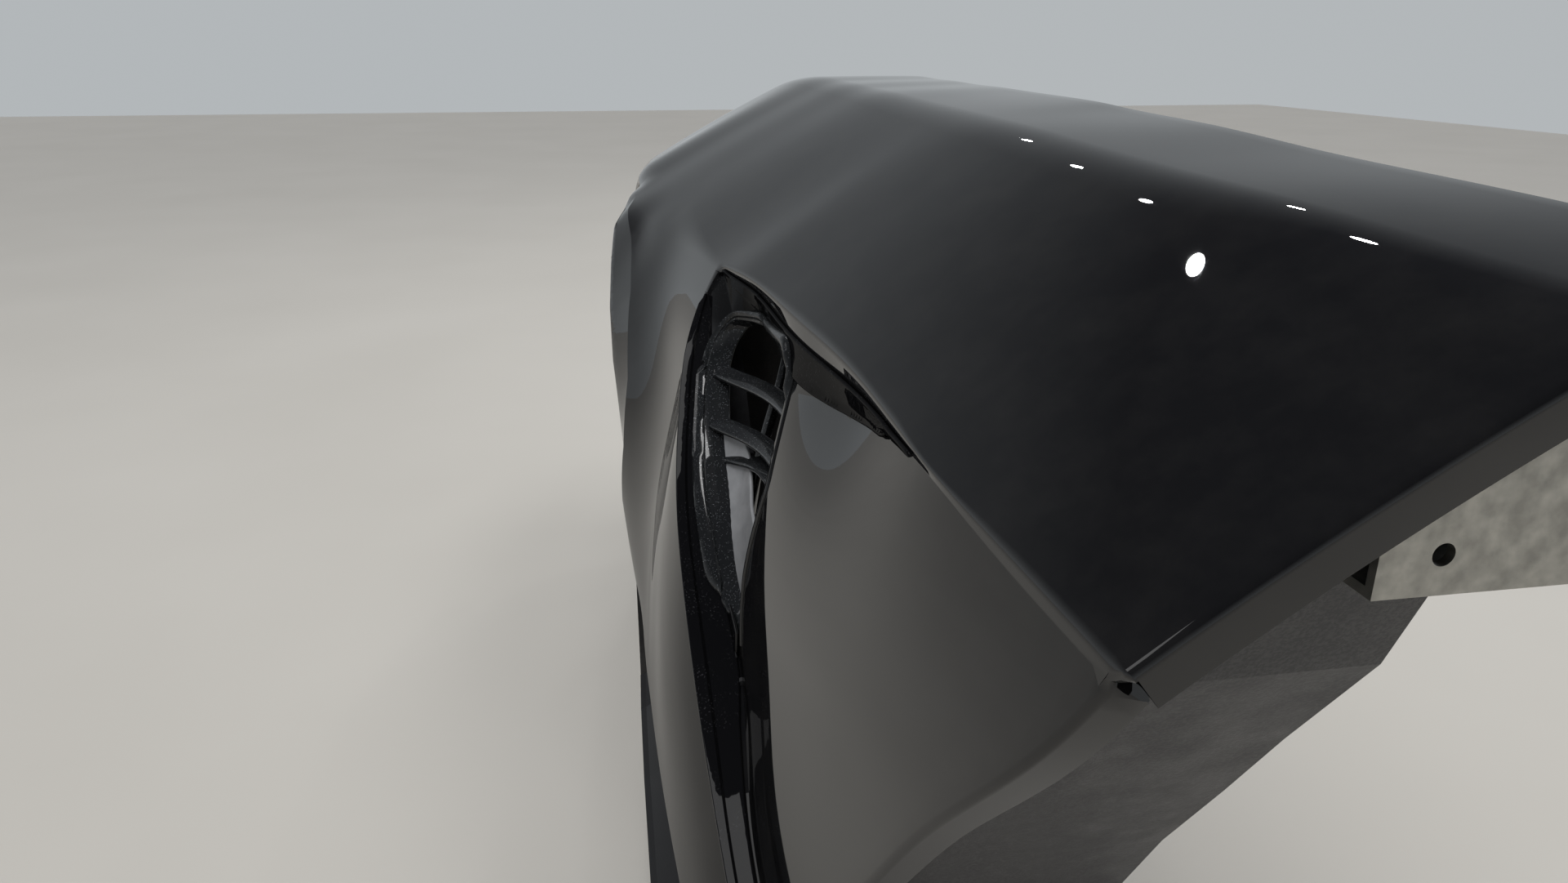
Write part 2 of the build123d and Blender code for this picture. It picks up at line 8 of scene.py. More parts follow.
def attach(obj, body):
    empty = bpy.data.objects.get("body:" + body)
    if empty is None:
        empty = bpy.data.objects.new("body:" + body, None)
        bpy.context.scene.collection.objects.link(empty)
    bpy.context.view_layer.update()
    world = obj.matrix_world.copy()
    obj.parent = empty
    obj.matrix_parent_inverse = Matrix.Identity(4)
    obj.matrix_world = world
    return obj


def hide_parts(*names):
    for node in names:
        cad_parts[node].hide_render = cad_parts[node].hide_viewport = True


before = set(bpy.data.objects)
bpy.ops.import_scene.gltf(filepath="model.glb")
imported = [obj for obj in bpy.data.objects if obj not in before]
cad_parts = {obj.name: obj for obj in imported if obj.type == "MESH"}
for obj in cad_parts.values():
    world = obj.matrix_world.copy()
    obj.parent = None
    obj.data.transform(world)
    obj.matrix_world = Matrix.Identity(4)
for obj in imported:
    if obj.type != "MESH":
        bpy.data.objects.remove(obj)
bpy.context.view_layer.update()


# Body paint: black lacquer under a thick clear coat, sprayed over the moulded
# skin. It dries with a faint orange peel and has a thin film of dust.
class Wire:
    """One socket of a node tree, so that its maths reads as plain expressions."""

    def __init__(self, graph, socket):
        self.graph, self.socket = graph, socket

    def _maths(self, kind, a, b):
        return self.graph.node("ShaderNodeMath", {0: a, 1: b}, operation=kind)

    def __add__(self, other):
        return self._maths("ADD", self, other)

    def __mul__(self, other):
        return self._maths("MULTIPLY", self, other)

    def __rsub__(self, other):
        return self._maths("SUBTRACT", other, self)

    __radd__ = __add__
    __rmul__ = __mul__

    def between(self, low, high):
        """0 at low and under it, 1 at high and over it."""
        return self.graph.node("ShaderNodeMapRange", {"Value": self, "From Min": low, "From Max": high})


class Graph:
    """A node tree whose nodes are made, set and fed in one call."""

    def node(self, kind, inputs, output=0, **settings):
        made = self.tree.nodes.new(kind)
        for label, value in settings.items():
            setattr(made, label, value)
        for label, value in inputs.items():
            self.feed(made.inputs[label], value)
        return Wire(self, made.outputs[output])

    def feed(self, socket, value):
        if isinstance(value, Wire):
            self.tree.links.new(value.socket, socket)
        elif socket.type == "RGBA":
            socket.default_value = (*value, 1)
        else:
            socket.default_value = value

    def mix(self, share, a, b):
        """Colour from a to b: the sockets are those of the Mix node's colour mode."""
        return self.node("ShaderNodeMix", {0: share, 6: a, 7: b}, 2, data_type="RGBA")


class Finish(Graph):
    """A material of one Principled shader and the nodes that feed it."""

    def __init__(self, name, **sockets):
        self.material = bpy.data.materials.new(name)
        self.material.use_nodes = True
        self.tree = self.material.node_tree
        self.shader = self.tree.nodes["Principled BSDF"]
        self.place = self.node("ShaderNodeTexCoord", {}, "Object")
        for label, value in sockets.items():
            self.set(label.replace("_", " "), value)

    def set(self, label, value):
        self.feed(self.shader.inputs[label], value)

    def colour(self, share, a, b):
        self.set("Base Color", self.mix(share, a, b))

    def noise(self, size, detail=2.0, rough=0.5):
        """Noise whose patches are about size metres across."""
        return self.node("ShaderNodeTexNoise", {
            "Vector": self.place, "Scale": 1 / size, "Detail": detail, "Roughness": rough})

    def cells(self, size):
        """Distance to the middles of cells about size metres across."""
        return self.node("ShaderNodeTexVoronoi", {"Vector": self.place, "Scale": 1 / size}, "Distance")

    def climb(self, low, high):
        """0 up to a height of low metres, 1 from high."""
        return self.node("ShaderNodeSeparateXYZ", {"Vector": self.place}, "Z").between(low, high)

    def bump(self, height, depth):
        self.set("Normal", self.node("ShaderNodeBump", {"Height": height, "Distance": depth}))


paint = Finish("black_lacquer", Specular_IOR_Level=0.0, Coat_Roughness=0.012, Coat_IOR=1.58)
film = paint.noise(0.045, 5, 0.65).between(0.4, 0.75)
# Painted shade: the clear coat is made thinner low on the flank, so the lower skin reflects less and reads
# darker there.
paint.set("Coat Weight", paint.climb(-0.55, -0.2) * 0.6 + 0.4)
paint.colour(film * 0.5, (0.006, 0.006, 0.0065), (0.016, 0.0155, 0.015))
paint.set("Roughness", film * 0.08 + 0.14)
paint.bump(paint.noise(0.0045, 1) + paint.noise(0.02, 1) * 3.0, 0.000016)


# Painted skin: one composite moulding, 3 mm thick, from the hood edge over the
# crest and the wheel down to the sill. It is drawn in sections across the car,
# in mm, in the car's own coordinates: x forward, y outboard, z up.
to_frame = np.array((400.0, -504.0, -789.0))
skin_wall = 3.0
hood_edge_y = 522.5
sill_z, sill_return = 268.0, 32.0
nose_x, apex_x, door_x = 430.0, -520.0, -1204.0
wheel_z, wheel_r = 327.0, 375.0
fold_reach, crest_reach, shoulder_reach, sill_reach = 4.0, 22.0, 5.0, 3.0
# x, crown z, crest y z, shoulder y z, brow y z, crease y z, hip y z, lower y
front_rows = (
    (430, 772, 655, 766, 850, 650, 865, 625, 880, 590, 895, 540, 905),
    (300, 806, 668, 803, 880, 690, 890, 668, 906, 615, 914, 552, 914),
    (200, 823, 671, 821, 893, 702, 898, 690, 903, 670, 907, 644, 910),
    (100, 831, 670, 830, 899, 708, 901, 702, 903, 697, 905, 688, 912),
    (0, 834, 667, 832, 907, 714, 908, 710, 909, 706, 910, 702, 926),
    (-75, 833, 665, 830, 899, 710, 904, 705, 911, 700, 918, 694, 930),
    (-150, 833, 663, 829, 892, 706, 900, 700, 925, 688, 950, 671, 935),
    (-225, 832, 661, 827, 884, 702, 900, 687, 925, 665, 959, 627, 940),
    (-300, 832, 659, 826, 876, 698, 893, 676, 930, 621, 964, 552, 940),
    (-400, 831, 657, 823, 865, 692, 888, 642, 912, 570, 943, 455, 938),
    (-520, 830, 654, 820, 852, 688, 879, 632, 896, 565, 922, 450, 938),
)
# x, crown z, crest y z, shoulder y z, eave y z, scoop y z, belly y z, foot y z,
# ledge y z, flank y z, hip y z, lower y
rear_rows = (
    (-520, 830, 654, 820, 852, 688, 850, 681, 854, 675, 858, 668, 861, 662, 865, 660, 893, 577, 922, 450, 938),
    (-570, 829, 653, 819, 844, 691, 838, 674, 850, 656, 861, 641, 869, 628, 887, 621, 905, 545, 925, 435, 937),
    (-620, 827, 652, 818, 836, 692, 827, 667, 842, 640, 862, 612, 878, 584, 899, 576, 914, 510, 927, 420, 936),
    (-690, 825, 650, 816, 827, 692, 825, 656, 846, 600, 866, 545, 884, 520, 908, 512, 920, 450, 929, 385, 934),
    (-760, 823, 649, 813, 819, 692, 824, 652, 850, 580, 868, 505, 873, 444, 907, 436, 918, 393, 926, 345, 931),
    (-880, 817, 644, 808, 810, 688, 805, 661, 846, 570, 864, 475, 878, 368, 899, 359, 908, 335, 916, 308, 924),
    (-1000, 813, 635, 803, 805, 681, 804, 676, 839, 570, 856, 470, 872, 322, 891, 314, 899, 302, 907, 288, 916),
    (-1100, 809, 626, 796, 798, 679, 799, 672, 832, 570, 848, 470, 866, 310, 884, 302, 891, 293, 899, 282, 909),
    (-1204, 803, 617, 789, 790, 676, 791, 669, 824, 570, 840, 470, 859, 300, 877, 292, 884, 286, 892, 279, 902),
)
shared_rows = [r[:6] + r[-3:] for r in front_rows + rear_rows[1:]]
# The vent's three folds on the side: mm along it at the apex, share of it farther ahead
fold_runs = ((7.3, 0.08), (29.4, 0.3), (33.9, 0.36))
fold_fade = 240.0


def smooth_line(knots, values, where):
    """Natural cubic spline through a feature line's points."""
    order = np.argsort(knots)
    k, v = np.asarray(knots, float)[order], np.asarray(values, float)[order]
    h, n = np.diff(k), len(k)
    rows, goal = np.eye(n), np.zeros(n)
    for i in range(1, n - 1):
        rows[i, i - 1:i + 2] = h[i - 1], 2 * (h[i - 1] + h[i]), h[i]
        goal[i] = 6 * ((v[i + 1] - v[i]) / h[i] - (v[i] - v[i - 1]) / h[i - 1])
    m = np.linalg.solve(rows, goal)
    i = np.clip(np.searchsorted(k, where) - 1, 0, n - 2)
    t, u = where - k[i], k[i + 1] - where
    curved = (m[i] * u ** 3 + m[i + 1] * t ** 3) / (6 * h[i])
    return curved + (v[i] / h[i] - m[i] * h[i] / 6) * u + (v[i + 1] / h[i] - m[i + 1] * h[i] / 6) * t


def feature(rows, column, x):
    return float(smooth_line([r[0] for r in rows], [r[column] for r in rows], x))


def features(rows, columns, x):
    """Section points at a station, from the columns that hold their y."""
    return [(feature(rows, i, x), feature(rows, i + 1, x)) for i in columns]


def lengths(line, power=1.0):
    return np.concatenate(([0], np.cumsum(np.linalg.norm(np.diff(line, axis=0), axis=1) ** power)))


def along(line, at):
    """Points of an outline at given lengths along it."""
    run = lengths(line)
    return np.stack([np.interp(at, run, line[:, i]) for i in range(line.shape[1])], axis=1)


def evenly(line, count):
    """An outline's points again, count steps apart by length, without its last."""
    return along(line, np.linspace(0, lengths(line)[-1], count + 1)[:-1])


def part_of(line, start, stop):
    """The stretch of an outline between two lengths along it."""
    run = lengths(line)
    first, last = along(line, (start, stop))
    return np.concatenate(([first], line[(run > start) & (run < stop)], [last]))


def curve_through(points, count=160):
    """A smooth run through a few section points."""
    p = np.asarray(points, float)
    knots = lengths(p, 0.5)
    at = np.linspace(0, knots[-1], count)
    return np.stack([smooth_line(knots, p[:, i], at) for i in (0, 1)], axis=1)


def crowned(a, b, rise=0.0):
    """A run from a to b that bulges outwards by a rise."""
    a, b = np.asarray(a, float), np.asarray(b, float)
    t = np.linspace(0, 1, 40)[:, None]
    ahead = (b - a) / np.linalg.norm(b - a)
    return a + (b - a) * t + np.array((-ahead[1], ahead[0])) * 4 * rise * t * (1 - t)


def bend(before, after, reach):
    """Rounds the corner between two runs: the first cut short, the arc, the second."""
    a, b = part_of(before, 0, lengths(before)[-1] - reach), part_of(after, reach, lengths(after)[-1])
    t = np.linspace(0, 1, 17)[:, None]
    return a, a[-1] * (1 - t) ** 2 + after[0] * 2 * t * (1 - t) + b[0] * t ** 2, b


def skin_section(x):
    """Skin outline at a station, as (y, z): the same number of points at each."""
    crown = hood_edge_y, feature(shared_rows, 1, x) - 0.5
    crest, shoulder, hip = features(shared_rows, (2, 4, 6), x)
    lower = feature(shared_rows, 8, x), sill_z
    top, crest_arc, rise = bend(crowned(crown, crest, 0.6), crowned(crest, shoulder, 3.5), crest_reach)
    under = crowned(lower, (lower[0] - sill_return, sill_z))
    if x > apex_x:
        ahead = min(1.0, (x - apex_x) / fold_fade) ** 2
        side = curve_through([shoulder, *features(front_rows, (6, 8), x), hip, lower], 400)
        rise, shoulder_arc, side = bend(rise, side, shoulder_reach + 20.0 * ahead)
        side, sill_arc, under = bend(side, under, sill_reach)
        end = lengths(side)[-1]
        folds = [a - shoulder_reach + ahead * (b * end - a + shoulder_reach) for a, b in fold_runs]
        strip, scoop, lip, flank = (part_of(side, a, b) for a, b in zip([0.0, *folds], [*folds, end]))
    else:
        eave, hollow, belly, foot, ledge, low_flank = features(rear_rows, range(6, 18, 2), x)
        strip = crowned(shoulder, eave)
        rise, shoulder_arc, strip = bend(rise, strip, min(shoulder_reach, 0.42 * lengths(strip)[-1]))
        scoop, lip = curve_through([eave, hollow, belly, foot]), crowned(foot, ledge)
        flank, sill_arc, under = bend(curve_through([ledge, low_flank, hip, lower]), under, sill_reach)
    runs = (
        (top, 8), (crest_arc, 8), (rise, 16), (shoulder_arc, 6), (strip, 5), (scoop, 24), (lip, 6),
        (flank, 34), (sill_arc, 4), (under, 4))
    return np.concatenate([evenly(line, 2 * count) for line, count in runs] + [under[-1:]])


shoulder_row, eave_row, foot_row, ledge_row, sill_row, last_row = 38, 43, 67, 73, 111, 115
station_step, x_first = 3.0, nose_x + 2
skin_grid = np.stack([
    skin_section(max(door_x, min(nose_x, x))) for x in np.arange(x_first, door_x - 2.1, -station_step)])


def base_skin(x, row):
    """Points of the skin before its lip is turned, for arrays of stations and rows."""
    i = np.clip((x_first - x) / station_step, 0, len(skin_grid) - 1.001)
    k = np.clip(2 * row, 0, skin_grid.shape[1] - 1.001)
    a, b = i.astype(int), k.astype(int)
    s, t = (i - a)[:, None], (k - b)[:, None]
    yz = (skin_grid[a, b] * (1 - s) * (1 - t) + skin_grid[a + 1, b] * s * (1 - t)
          + skin_grid[a, b + 1] * (1 - s) * t + skin_grid[a + 1, b + 1] * s * t)
    return np.column_stack((x, yz))


def row_of(x, value, column=2, span=(shoulder_row - 3, last_row - 4)):
    """Row of the skin at a station where its y (column 1) or z (column 2) has a value."""
    rows = np.arange(2 * span[0], 2 * span[1] + 1) / 2
    values = base_skin(np.full(len(rows), x), rows)[:, column]
    sign = 1 if values[-1] > values[0] else -1
    return np.interp(sign * value, sign * values, rows)


def top_row(x, y):
    return row_of(x, y, 1, (0, shoulder_row))


def skin_rows(x, z):
    return np.array([row_of(a, b) for a, b in zip(x, z)])


# The lip over the wheel: a narrow band, turned down from a crisp crease. Angles
# are about the axle, in degrees from straight up, to the rear.
lip_angles = (-62, -53, -32, -15.5, 0, 20, 25, 35, 45, 55, 65, 75, 80)
lip_y = (913, 912, 908, 906, 908.5, 934, 946, 952, 956, 955.5, 950.5, 945, 940.5)
crease_angles = (0, 11, 22.6, 33.7, 45.6, 60, 70, 80, 90)
crease_radii = (375, 380.5, 391, 406, 420, 420, 406, 376, 375)


def crease_r(angle):
    return np.interp(abs(angle), crease_angles, crease_radii)


def about_axle(p):
    """Reach and angle of points about the axle."""
    up = p[:, 2] - wheel_z
    return np.hypot(p[:, 0], up), np.degrees(np.arctan2(-p[:, 0], up))


swing = np.linspace(-62, 84, 147)
crease_x = -crease_r(swing) * np.sin(np.radians(swing))
crease_z = wheel_z + crease_r(swing) * np.cos(np.radians(swing))
crease_row = skin_rows(crease_x, crease_z)
crease_y = base_skin(crease_x, crease_row)[:, 1]


def on_skin(x, row):
    p = base_skin(x, row)
    reach, angle = about_axle(p)
    crease = crease_r(angle)
    share = (crease - reach) / np.maximum(crease - wheel_r, 1e-6)
    turned = (reach < crease) & (angle > -66) & (angle < 84) & (crease > wheel_r + 0.5)
    edge_y, fold_y = np.interp(angle, lip_angles, lip_y), np.interp(angle, swing, crease_y)
    p[turned, 1] = (fold_y + (edge_y - fold_y) * share)[turned]
    return p


def spread(xs, ys, keep):
    """Places of a grid that keep accepts."""
    places = np.stack(np.meshgrid(xs, ys), axis=-1).reshape(-1, 2)
    return places[keep(places)]


def clear_of(lines, places, gap, order=2):
    """Places farther than a gap from lines, by a norm of an order."""
    marks = np.concatenate(lines)
    return places[[np.linalg.norm(marks - p, order, axis=1).min() > gap for p in places]]


def triangulate(points, chains, keep):
    """Plane triangles over scattered points that follow chains of edges."""
    coords, edges = [Vector(p) for p in points], []
    for chain in chains:
        edges += [(len(coords) + i, len(coords) + i + 1) for i in range(len(chain) - 1)]
        coords += [Vector(p) for p in chain]
    out = delaunay_2d_cdt(coords, edges, [], 0, 1e-4)
    flat, faces = np.array([tuple(v) for v in out[0]]), np.array(out[2])
    faces = faces[keep(flat[faces].mean(axis=1))]
    used, renumbered = np.unique(faces, return_inverse=True)
    return flat[used], renumbered.reshape(faces.shape)


def unit(v):
    return v / np.maximum(np.linalg.norm(v, axis=-1, keepdims=True), 1e-9)


def sheet_normals(points, faces):
    a, b, c = (points[faces[:, i]] for i in range(3))
    across = np.cross(b - a, c - a)
    normals = np.zeros_like(points)
    for i in range(3):
        np.add.at(normals, faces[:, i], across)
    return unit(normals)


def walled(points, faces, wall, edge=lambda p, n: None):
    """A sheet of triangles made a wall: edge(point, normal) gives the radius, direction and
    depth of the flange that its rim turns into, or None for a plain round hem."""
    steps = 7
    normals = sheet_normals(points, faces)
    count = len(points)
    arrows = {(int(a), int(b)) for f in faces for a, b in zip(f, np.roll(f, -1))}
    rim = {a: b for a, b in arrows if (b, a) not in arrows}
    back = {b: a for a, b in rim.items()}
    verts, rings = [points, points - normals * wall], {}
    total = 2 * count
    for a in rim:
        n, p = normals[a], points[a]
        out = unit(np.cross(unit(p - points[back[a]]) + unit(points[rim[a]] - p), n))
        shape = edge(p, n)
        if shape is None:
            turn = np.linspace(0, math.pi, steps + 2)[1:-1, None]
            ring = p - n * wall / 2 + (n * np.cos(turn) + out * np.sin(turn)) * wall / 2
        else:
            radius, aim, depth = shape
            end = math.atan2(-aim @ n, aim @ out)
            turn = end * np.array((0.33, 0.67, 1.0))[:, None]
            centre = p - n * radius
            arc = centre + (n * np.cos(turn) + out * np.sin(turn)) * radius
            inward = -(n * math.cos(end) + out * math.sin(end))
            tip, inner = arc[-1] + aim * depth, centre - inward * (radius - wall)
            nosing = tip + (inward + aim * 0.8) * wall / 2
            ring = np.concatenate((arc, [tip, nosing, tip + inward * wall, inner]))
        verts.append(ring)
        rings[a] = [a, *range(total, total + steps), a + count]
        total += steps
    polygons = faces.tolist() + (faces[:, ::-1] + count).tolist()
    for a, b in rim.items():
        for k in range(steps + 1):
            polygons.append((rings[b][k], rings[a][k], rings[a][k + 1], rings[b][k + 1]))
    return np.concatenate(verts), polygons


def settle(piece):
    """Turn a piece's modifiers into plain mesh."""
    depsgraph = bpy.context.evaluated_depsgraph_get()
    solved = bpy.data.meshes.new_from_object(
        piece.evaluated_get(depsgraph), preserve_all_data_layers=True, depsgraph=depsgraph)
    piece.modifiers.clear()
    piece.data = solved


def placed(name, data):
    made = bpy.data.objects.new(name, data)
    bpy.context.scene.collection.objects.link(made)
    return made


def meshed(name, points, edges, faces):
    """An object and its mesh in the frame's metres, from points in the car's mm."""
    mesh = bpy.data.meshes.new(name)
    mesh.from_pydata(((np.asarray(points) + to_frame) / 1000).tolist(), edges, faces)
    return placed(name, mesh), mesh


def shade(mesh, sharp):
    mesh.polygons.foreach_set("use_smooth", [True] * len(mesh.polygons))
    mesh.set_sharp_from_angle(angle=math.radians(sharp))


def piece_from(name, points, polygons, finish, slot, sharp=35, creased=None, bare=None):
    """A finished piece, smooth but for corners over sharp degrees and edges between creased
    points. Of a wall, bare gives the finish and the count of its inner faces."""
    made, mesh = meshed(name, points, [], [list(map(int, f)) for f in polygons])
    mesh.materials.append(finish.material)
    if bare:
        mesh.materials.append(bare[0].material)
        for polygon in mesh.polygons[bare[1]:2 * bare[1]]:
            polygon.material_index = 1
    mesh.validate()
    shade(mesh, sharp)
    for edge in mesh.edges if creased else ():
        if creased.issuperset(edge.vertices):
            edge.use_edge_sharp = True
    made.modifiers.new("weighted", "WEIGHTED_NORMAL").keep_sharp = True
    settle(made)
    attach(made, "root")
    return made


def softened(points, reach, closed=True, steps=7):
    """An outline with its corners rounded off by a reach, in steps points each."""
    p, out = [np.asarray(q, float) for q in points], []
    for i, corner in enumerate(p):
        if not closed and i in (0, len(p) - 1):
            out.append(corner)
            continue
        before, after = p[i - 1] - corner, p[(i + 1) % len(p)] - corner
        r = min(reach, 0.45 * np.linalg.norm(before), 0.45 * np.linalg.norm(after))
        a, b = corner + unit(before) * r, corner + unit(after) * r
        for t in np.linspace(0, 1, steps):
            out.append(a * (1 - t) ** 2 + corner * 2 * t * (1 - t) + b * t ** 2)
    return np.array(out)


def closed_up(line):
    return np.concatenate((line, line[:1]))


def stepped(line, step):
    """An outline's points again, about a step apart."""
    return np.concatenate((evenly(line, max(2, int(lengths(line)[-1] / step))), line[-1:]))


def offset_line(line, distance, closed=False):
    """An outline moved sideways, to the left of its run."""
    run = np.roll(line, -1, axis=0) - np.roll(line, 1, axis=0) if closed else np.gradient(line, axis=0)
    return line + unit(np.column_stack((-run[:, 1], run[:, 0]))) * distance


def within(outline):
    """A test of which places an outline holds."""
    def test(places):
        x, z = places.T
        hit = np.zeros(len(x), bool)
        for (xa, za), (xb, zb) in zip(outline, np.roll(outline, -1, axis=0)):
            crosses = (za > z) != (zb > z)
            hit ^= crosses & (x < (xb - xa) * (z - za) / (zb - za + 1e-12) + xa)
        return hit
    return test


cell = 9.0
front_x, back_x = 427.4, door_x + fold_reach
door_seam = (
    (door_x, 690), (-1180, 630), (-1130, 557), (-1090, 495), (-1040, 420), (-1000, 350), (-985, 240))
seam_z = np.linspace(700, 250, 64)
seam_x = smooth_line([z for _, z in door_seam], [x for x, _ in door_seam], seam_z)
seam_side = offset_line(np.column_stack((np.maximum(seam_x, door_x), seam_z)), fold_reach)
seam_side = seam_side[(seam_side[:, 1] >= sill_z + 0.01) & (seam_side[:, 0] > back_x + 0.2)]
vent_opening = (
    (-545, 664), (-620, 661), (-745, 646), (-775, 575), (-770, 500), (-776, 446), (-735, 470), (-690, 523),
    (-620, 588), (-575, 636),
)
vent_edge = softened(vent_opening, 9)
lamp_notch = ((450, 812), (400, 806), (300, 745), (222, 682), (206, 660), (222, 642), (330, 570), (352, 470))
lamp_edge = offset_line(stepped(softened(lamp_notch, 16, closed=False), 6), -fold_reach)
lamp_shape = np.concatenate((lamp_edge, [(352, 400), (500, 400), (500, 816)]))
cut_r = wheel_r + fold_reach


def bumper_z(x):
    """Height of the fold along the bumper seam, which rises by half to the front."""
    return 505 + (x - 330) * 0.5 + fold_reach * 1.118


start = next(a for a in np.linspace(0.2, 1.2, 2001)
             if wheel_z + cut_r * math.sin(a) > bumper_z(cut_r * math.cos(a)))
stop = math.pi + math.asin((wheel_z - sill_z) / cut_r)


def arc_points(u, v, radius, turns):
    return np.column_stack((u + radius * np.cos(turns), v + radius * np.sin(turns)))


arch_side = arc_points(0, wheel_z, cut_r, np.linspace(start, stop, 210))


def side_chain(points):
    """A line seen from the side, laid on the skin as (x, row)."""
    return [(x, row_of(x, z)) for x, z in points]


def straight(x, row_a, row_b):
    """A line across the skin at a station, from row to row."""
    step = math.copysign(1.0, row_b - row_a)
    return [(x, row) for row in (*np.arange(row_a, row_b - 0.3 * step, step), row_b)]


def level(row, x_a, x_b):
    """A line along the skin on a row, rearwards."""
    return [(x, row) for x in (*np.arange(x_a, x_b + 3, -cell), x_b)]


arch_foot, door_foot = arch_side[-1, 0], seam_side[-1, 0]
lamp_chain = [(x, top_row(x, y)) for x, y in lamp_edge if x < front_x and y > hood_edge_y]
door_chain = side_chain(seam_side)
bumper_chain = side_chain([(x, bumper_z(x)) for x in np.linspace(arch_side[0, 0], front_x, 16)])
skin_edges = {
    "arch": side_chain(arch_side) + straight(arch_foot, sill_row, last_row),
    "door": straight(back_x, 0, door_chain[0][1]) + door_chain + straight(door_foot, sill_row, last_row),
    "bumper": bumper_chain,
    "front": straight(front_x, bumper_chain[-1][1], lamp_chain[0][1]),
    "vent": side_chain(closed_up(stepped(vent_edge, 4))),
    "lamp": lamp_chain,
    "sill": level(last_row, arch_foot, door_foot),
    "hood": level(0.0, lamp_chain[-1][0], back_x),
}
creases = [[(x, row) for x, row, angle in zip(crease_x, crease_row, swing) if 12 < side * angle < 79]
           for side in (-1, 1)]
folds = [[(x, row) for x in np.arange(apex_x, -1190, -6.0)] for row in (eave_row, foot_row, ledge_row)]


def on_panel(flat):
    """Which places in the (cells, row) plane are painted skin."""
    p, row = base_skin(flat[:, 0] * cell, flat[:, 1]), flat[:, 1]
    x, z = p[:, 0], p[:, 2]
    kept = np.hypot(x, z - wheel_z) > cut_r
    kept &= ~((x > 250) & (z < bumper_z(x))) & (x < front_x) & (x > back_x)
    kept &= ~(within(lamp_shape)(p[:, :2]) & (row < shoulder_row) & (x > 150))
    seam = np.interp(z, seam_side[::-1, 1], seam_side[::-1, 0])
    kept &= ~((row > shoulder_row + 2) & (x < seam)) & ~((x > -370) & (z < wheel_z))
    kept &= ~(within(vent_edge)(p[:, ::2]) & (row > shoulder_row) & (row < ledge_row))
    return kept


chains = [np.array(line) / (cell, 1) for line in (*skin_edges.values(), *creases, *folds)]
scatter = spread(np.arange(front_x, back_x, -cell) / cell, np.arange(0, last_row + 0.5), on_panel)
flat, skin_faces = triangulate(clear_of(chains, scatter, 0.55), chains, on_panel)
skin_points = on_skin(flat[:, 0] * cell, flat[:, 1])
edge_marks = {name: on_skin(*np.array(chain).T) for name, chain in skin_edges.items()}
flange_depths = {"arch": 14.0, "door": 16.0, "bumper": 16.0, "lamp": 6.0}
gutter_front, gutter_back, gutter_top = 185.0, -1022.0, 792.0


def skin_edge(p, n):
    """What each edge of the skin turns into."""
    name = min(edge_marks, key=lambda k: ((edge_marks[k] - p) ** 2).sum(axis=1).min())
    if name == "hood":
        depth = p[2] - fold_reach - gutter_top + 1.0 if gutter_back < p[0] < gutter_front else 3.0
        return fold_reach, np.array((0.0, 0.0, -1.0)), max(3.0, depth)
    if name in flange_depths:
        return fold_reach, np.array((0.0, -1.0, 0.0)) if name == "arch" else -n, flange_depths[name]
    return None


reach, angle = about_axle(skin_points)
on_crease = (abs(reach - crease_r(angle)) < 0.3) & (skin_points[:, 1] > 850)
creased = set(np.nonzero(on_crease & (abs(angle) < 78) & (abs(angle) > 14))[0])
composite = Finish("pressed_composite", Specular_IOR_Level=0.4)
strands = composite.noise(0.002, 4, 0.75).between(0.45, 0.6)
swirl = composite.noise(0.04, 3, 0.6).between(0.35, 0.7)
composite.colour(strands * 0.6 + swirl * 0.4, (0.028, 0.028, 0.030), (0.085, 0.085, 0.088))
composite.set("Roughness", swirl * 0.25 + 0.35)
composite.bump(strands, 0.00012)
skin = piece_from(
    "painted_skin", *walled(skin_points, skin_faces, skin_wall, skin_edge), paint, "body_paint",
    creased=creased, bare=(composite, len(skin_faces)))
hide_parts("fender_panel")


# Vent surround: a moulding in piano black, bonded over the skin's two folds.
# It comes to a point in front; below, its outer half stands up as a rim.
gloss = Finish("piano_black", Specular_IOR_Level=0.0, Roughness=0.2, Coat_Roughness=0.02, Coat_IOR=1.45)
dust = gloss.noise(0.0016, 1).between(0.62, 0.72) * gloss.noise(0.03, 3).between(0.45, 0.7)
gloss.colour(dust * 0.6, (0.004, 0.004, 0.0045), (0.06, 0.06, 0.065))
# Painted shade: the clear coat is made thin above a height, so the upper arm reflects little and reads black
# while the lower rim keeps its gloss.
gloss.set("Coat Weight", 0.9 - gloss.climb(-0.165, -0.14) * 0.72)
gloss.bump(gloss.noise(0.006, 1), 0.00001)
surround_low, surround_rim, surround_wall, surround_back = 3.3, 5.8, 3.0, -1000.0
# Rows of its upper edge, its inner edge at the foot, the step up to its rim and its lower edge
shoulder_edge, foot_edge, rim_step, ledge_edge = 39.7, 68.0, 71.3, 72.8
# Its cells along the car, and about what a row measures, in mm
surround_cell, row_width = 5, 1.3
# Corners of the grille's rim, x and z, from its front end over the top and back below
rim_corners = (
    (-579, 655), (-622, 663), (-690, 667), (-739, 671), (-779, 577), (-776, 500), (-779, 446), (-737, 467),
    (-690, 517.5), (-620, 581.5), (-593, 605), (-580, 628),
)
rim_bend, corner_steps = 17, 7
# The upper half's straight face ends at a fold: its x and z from the rear
fold_x, fold_z = (-1000, -640, -622, -579, -520), (690, 690, 663, 655, 684)


def skin_normal(x, row):
    """Outward normals of the skin, for arrays of stations and rows."""
    across = base_skin(x + 2, row) - base_skin(x - 2, row)
    return unit(np.cross(across, base_skin(x, row + 0.4) - base_skin(x, row - 0.4)))


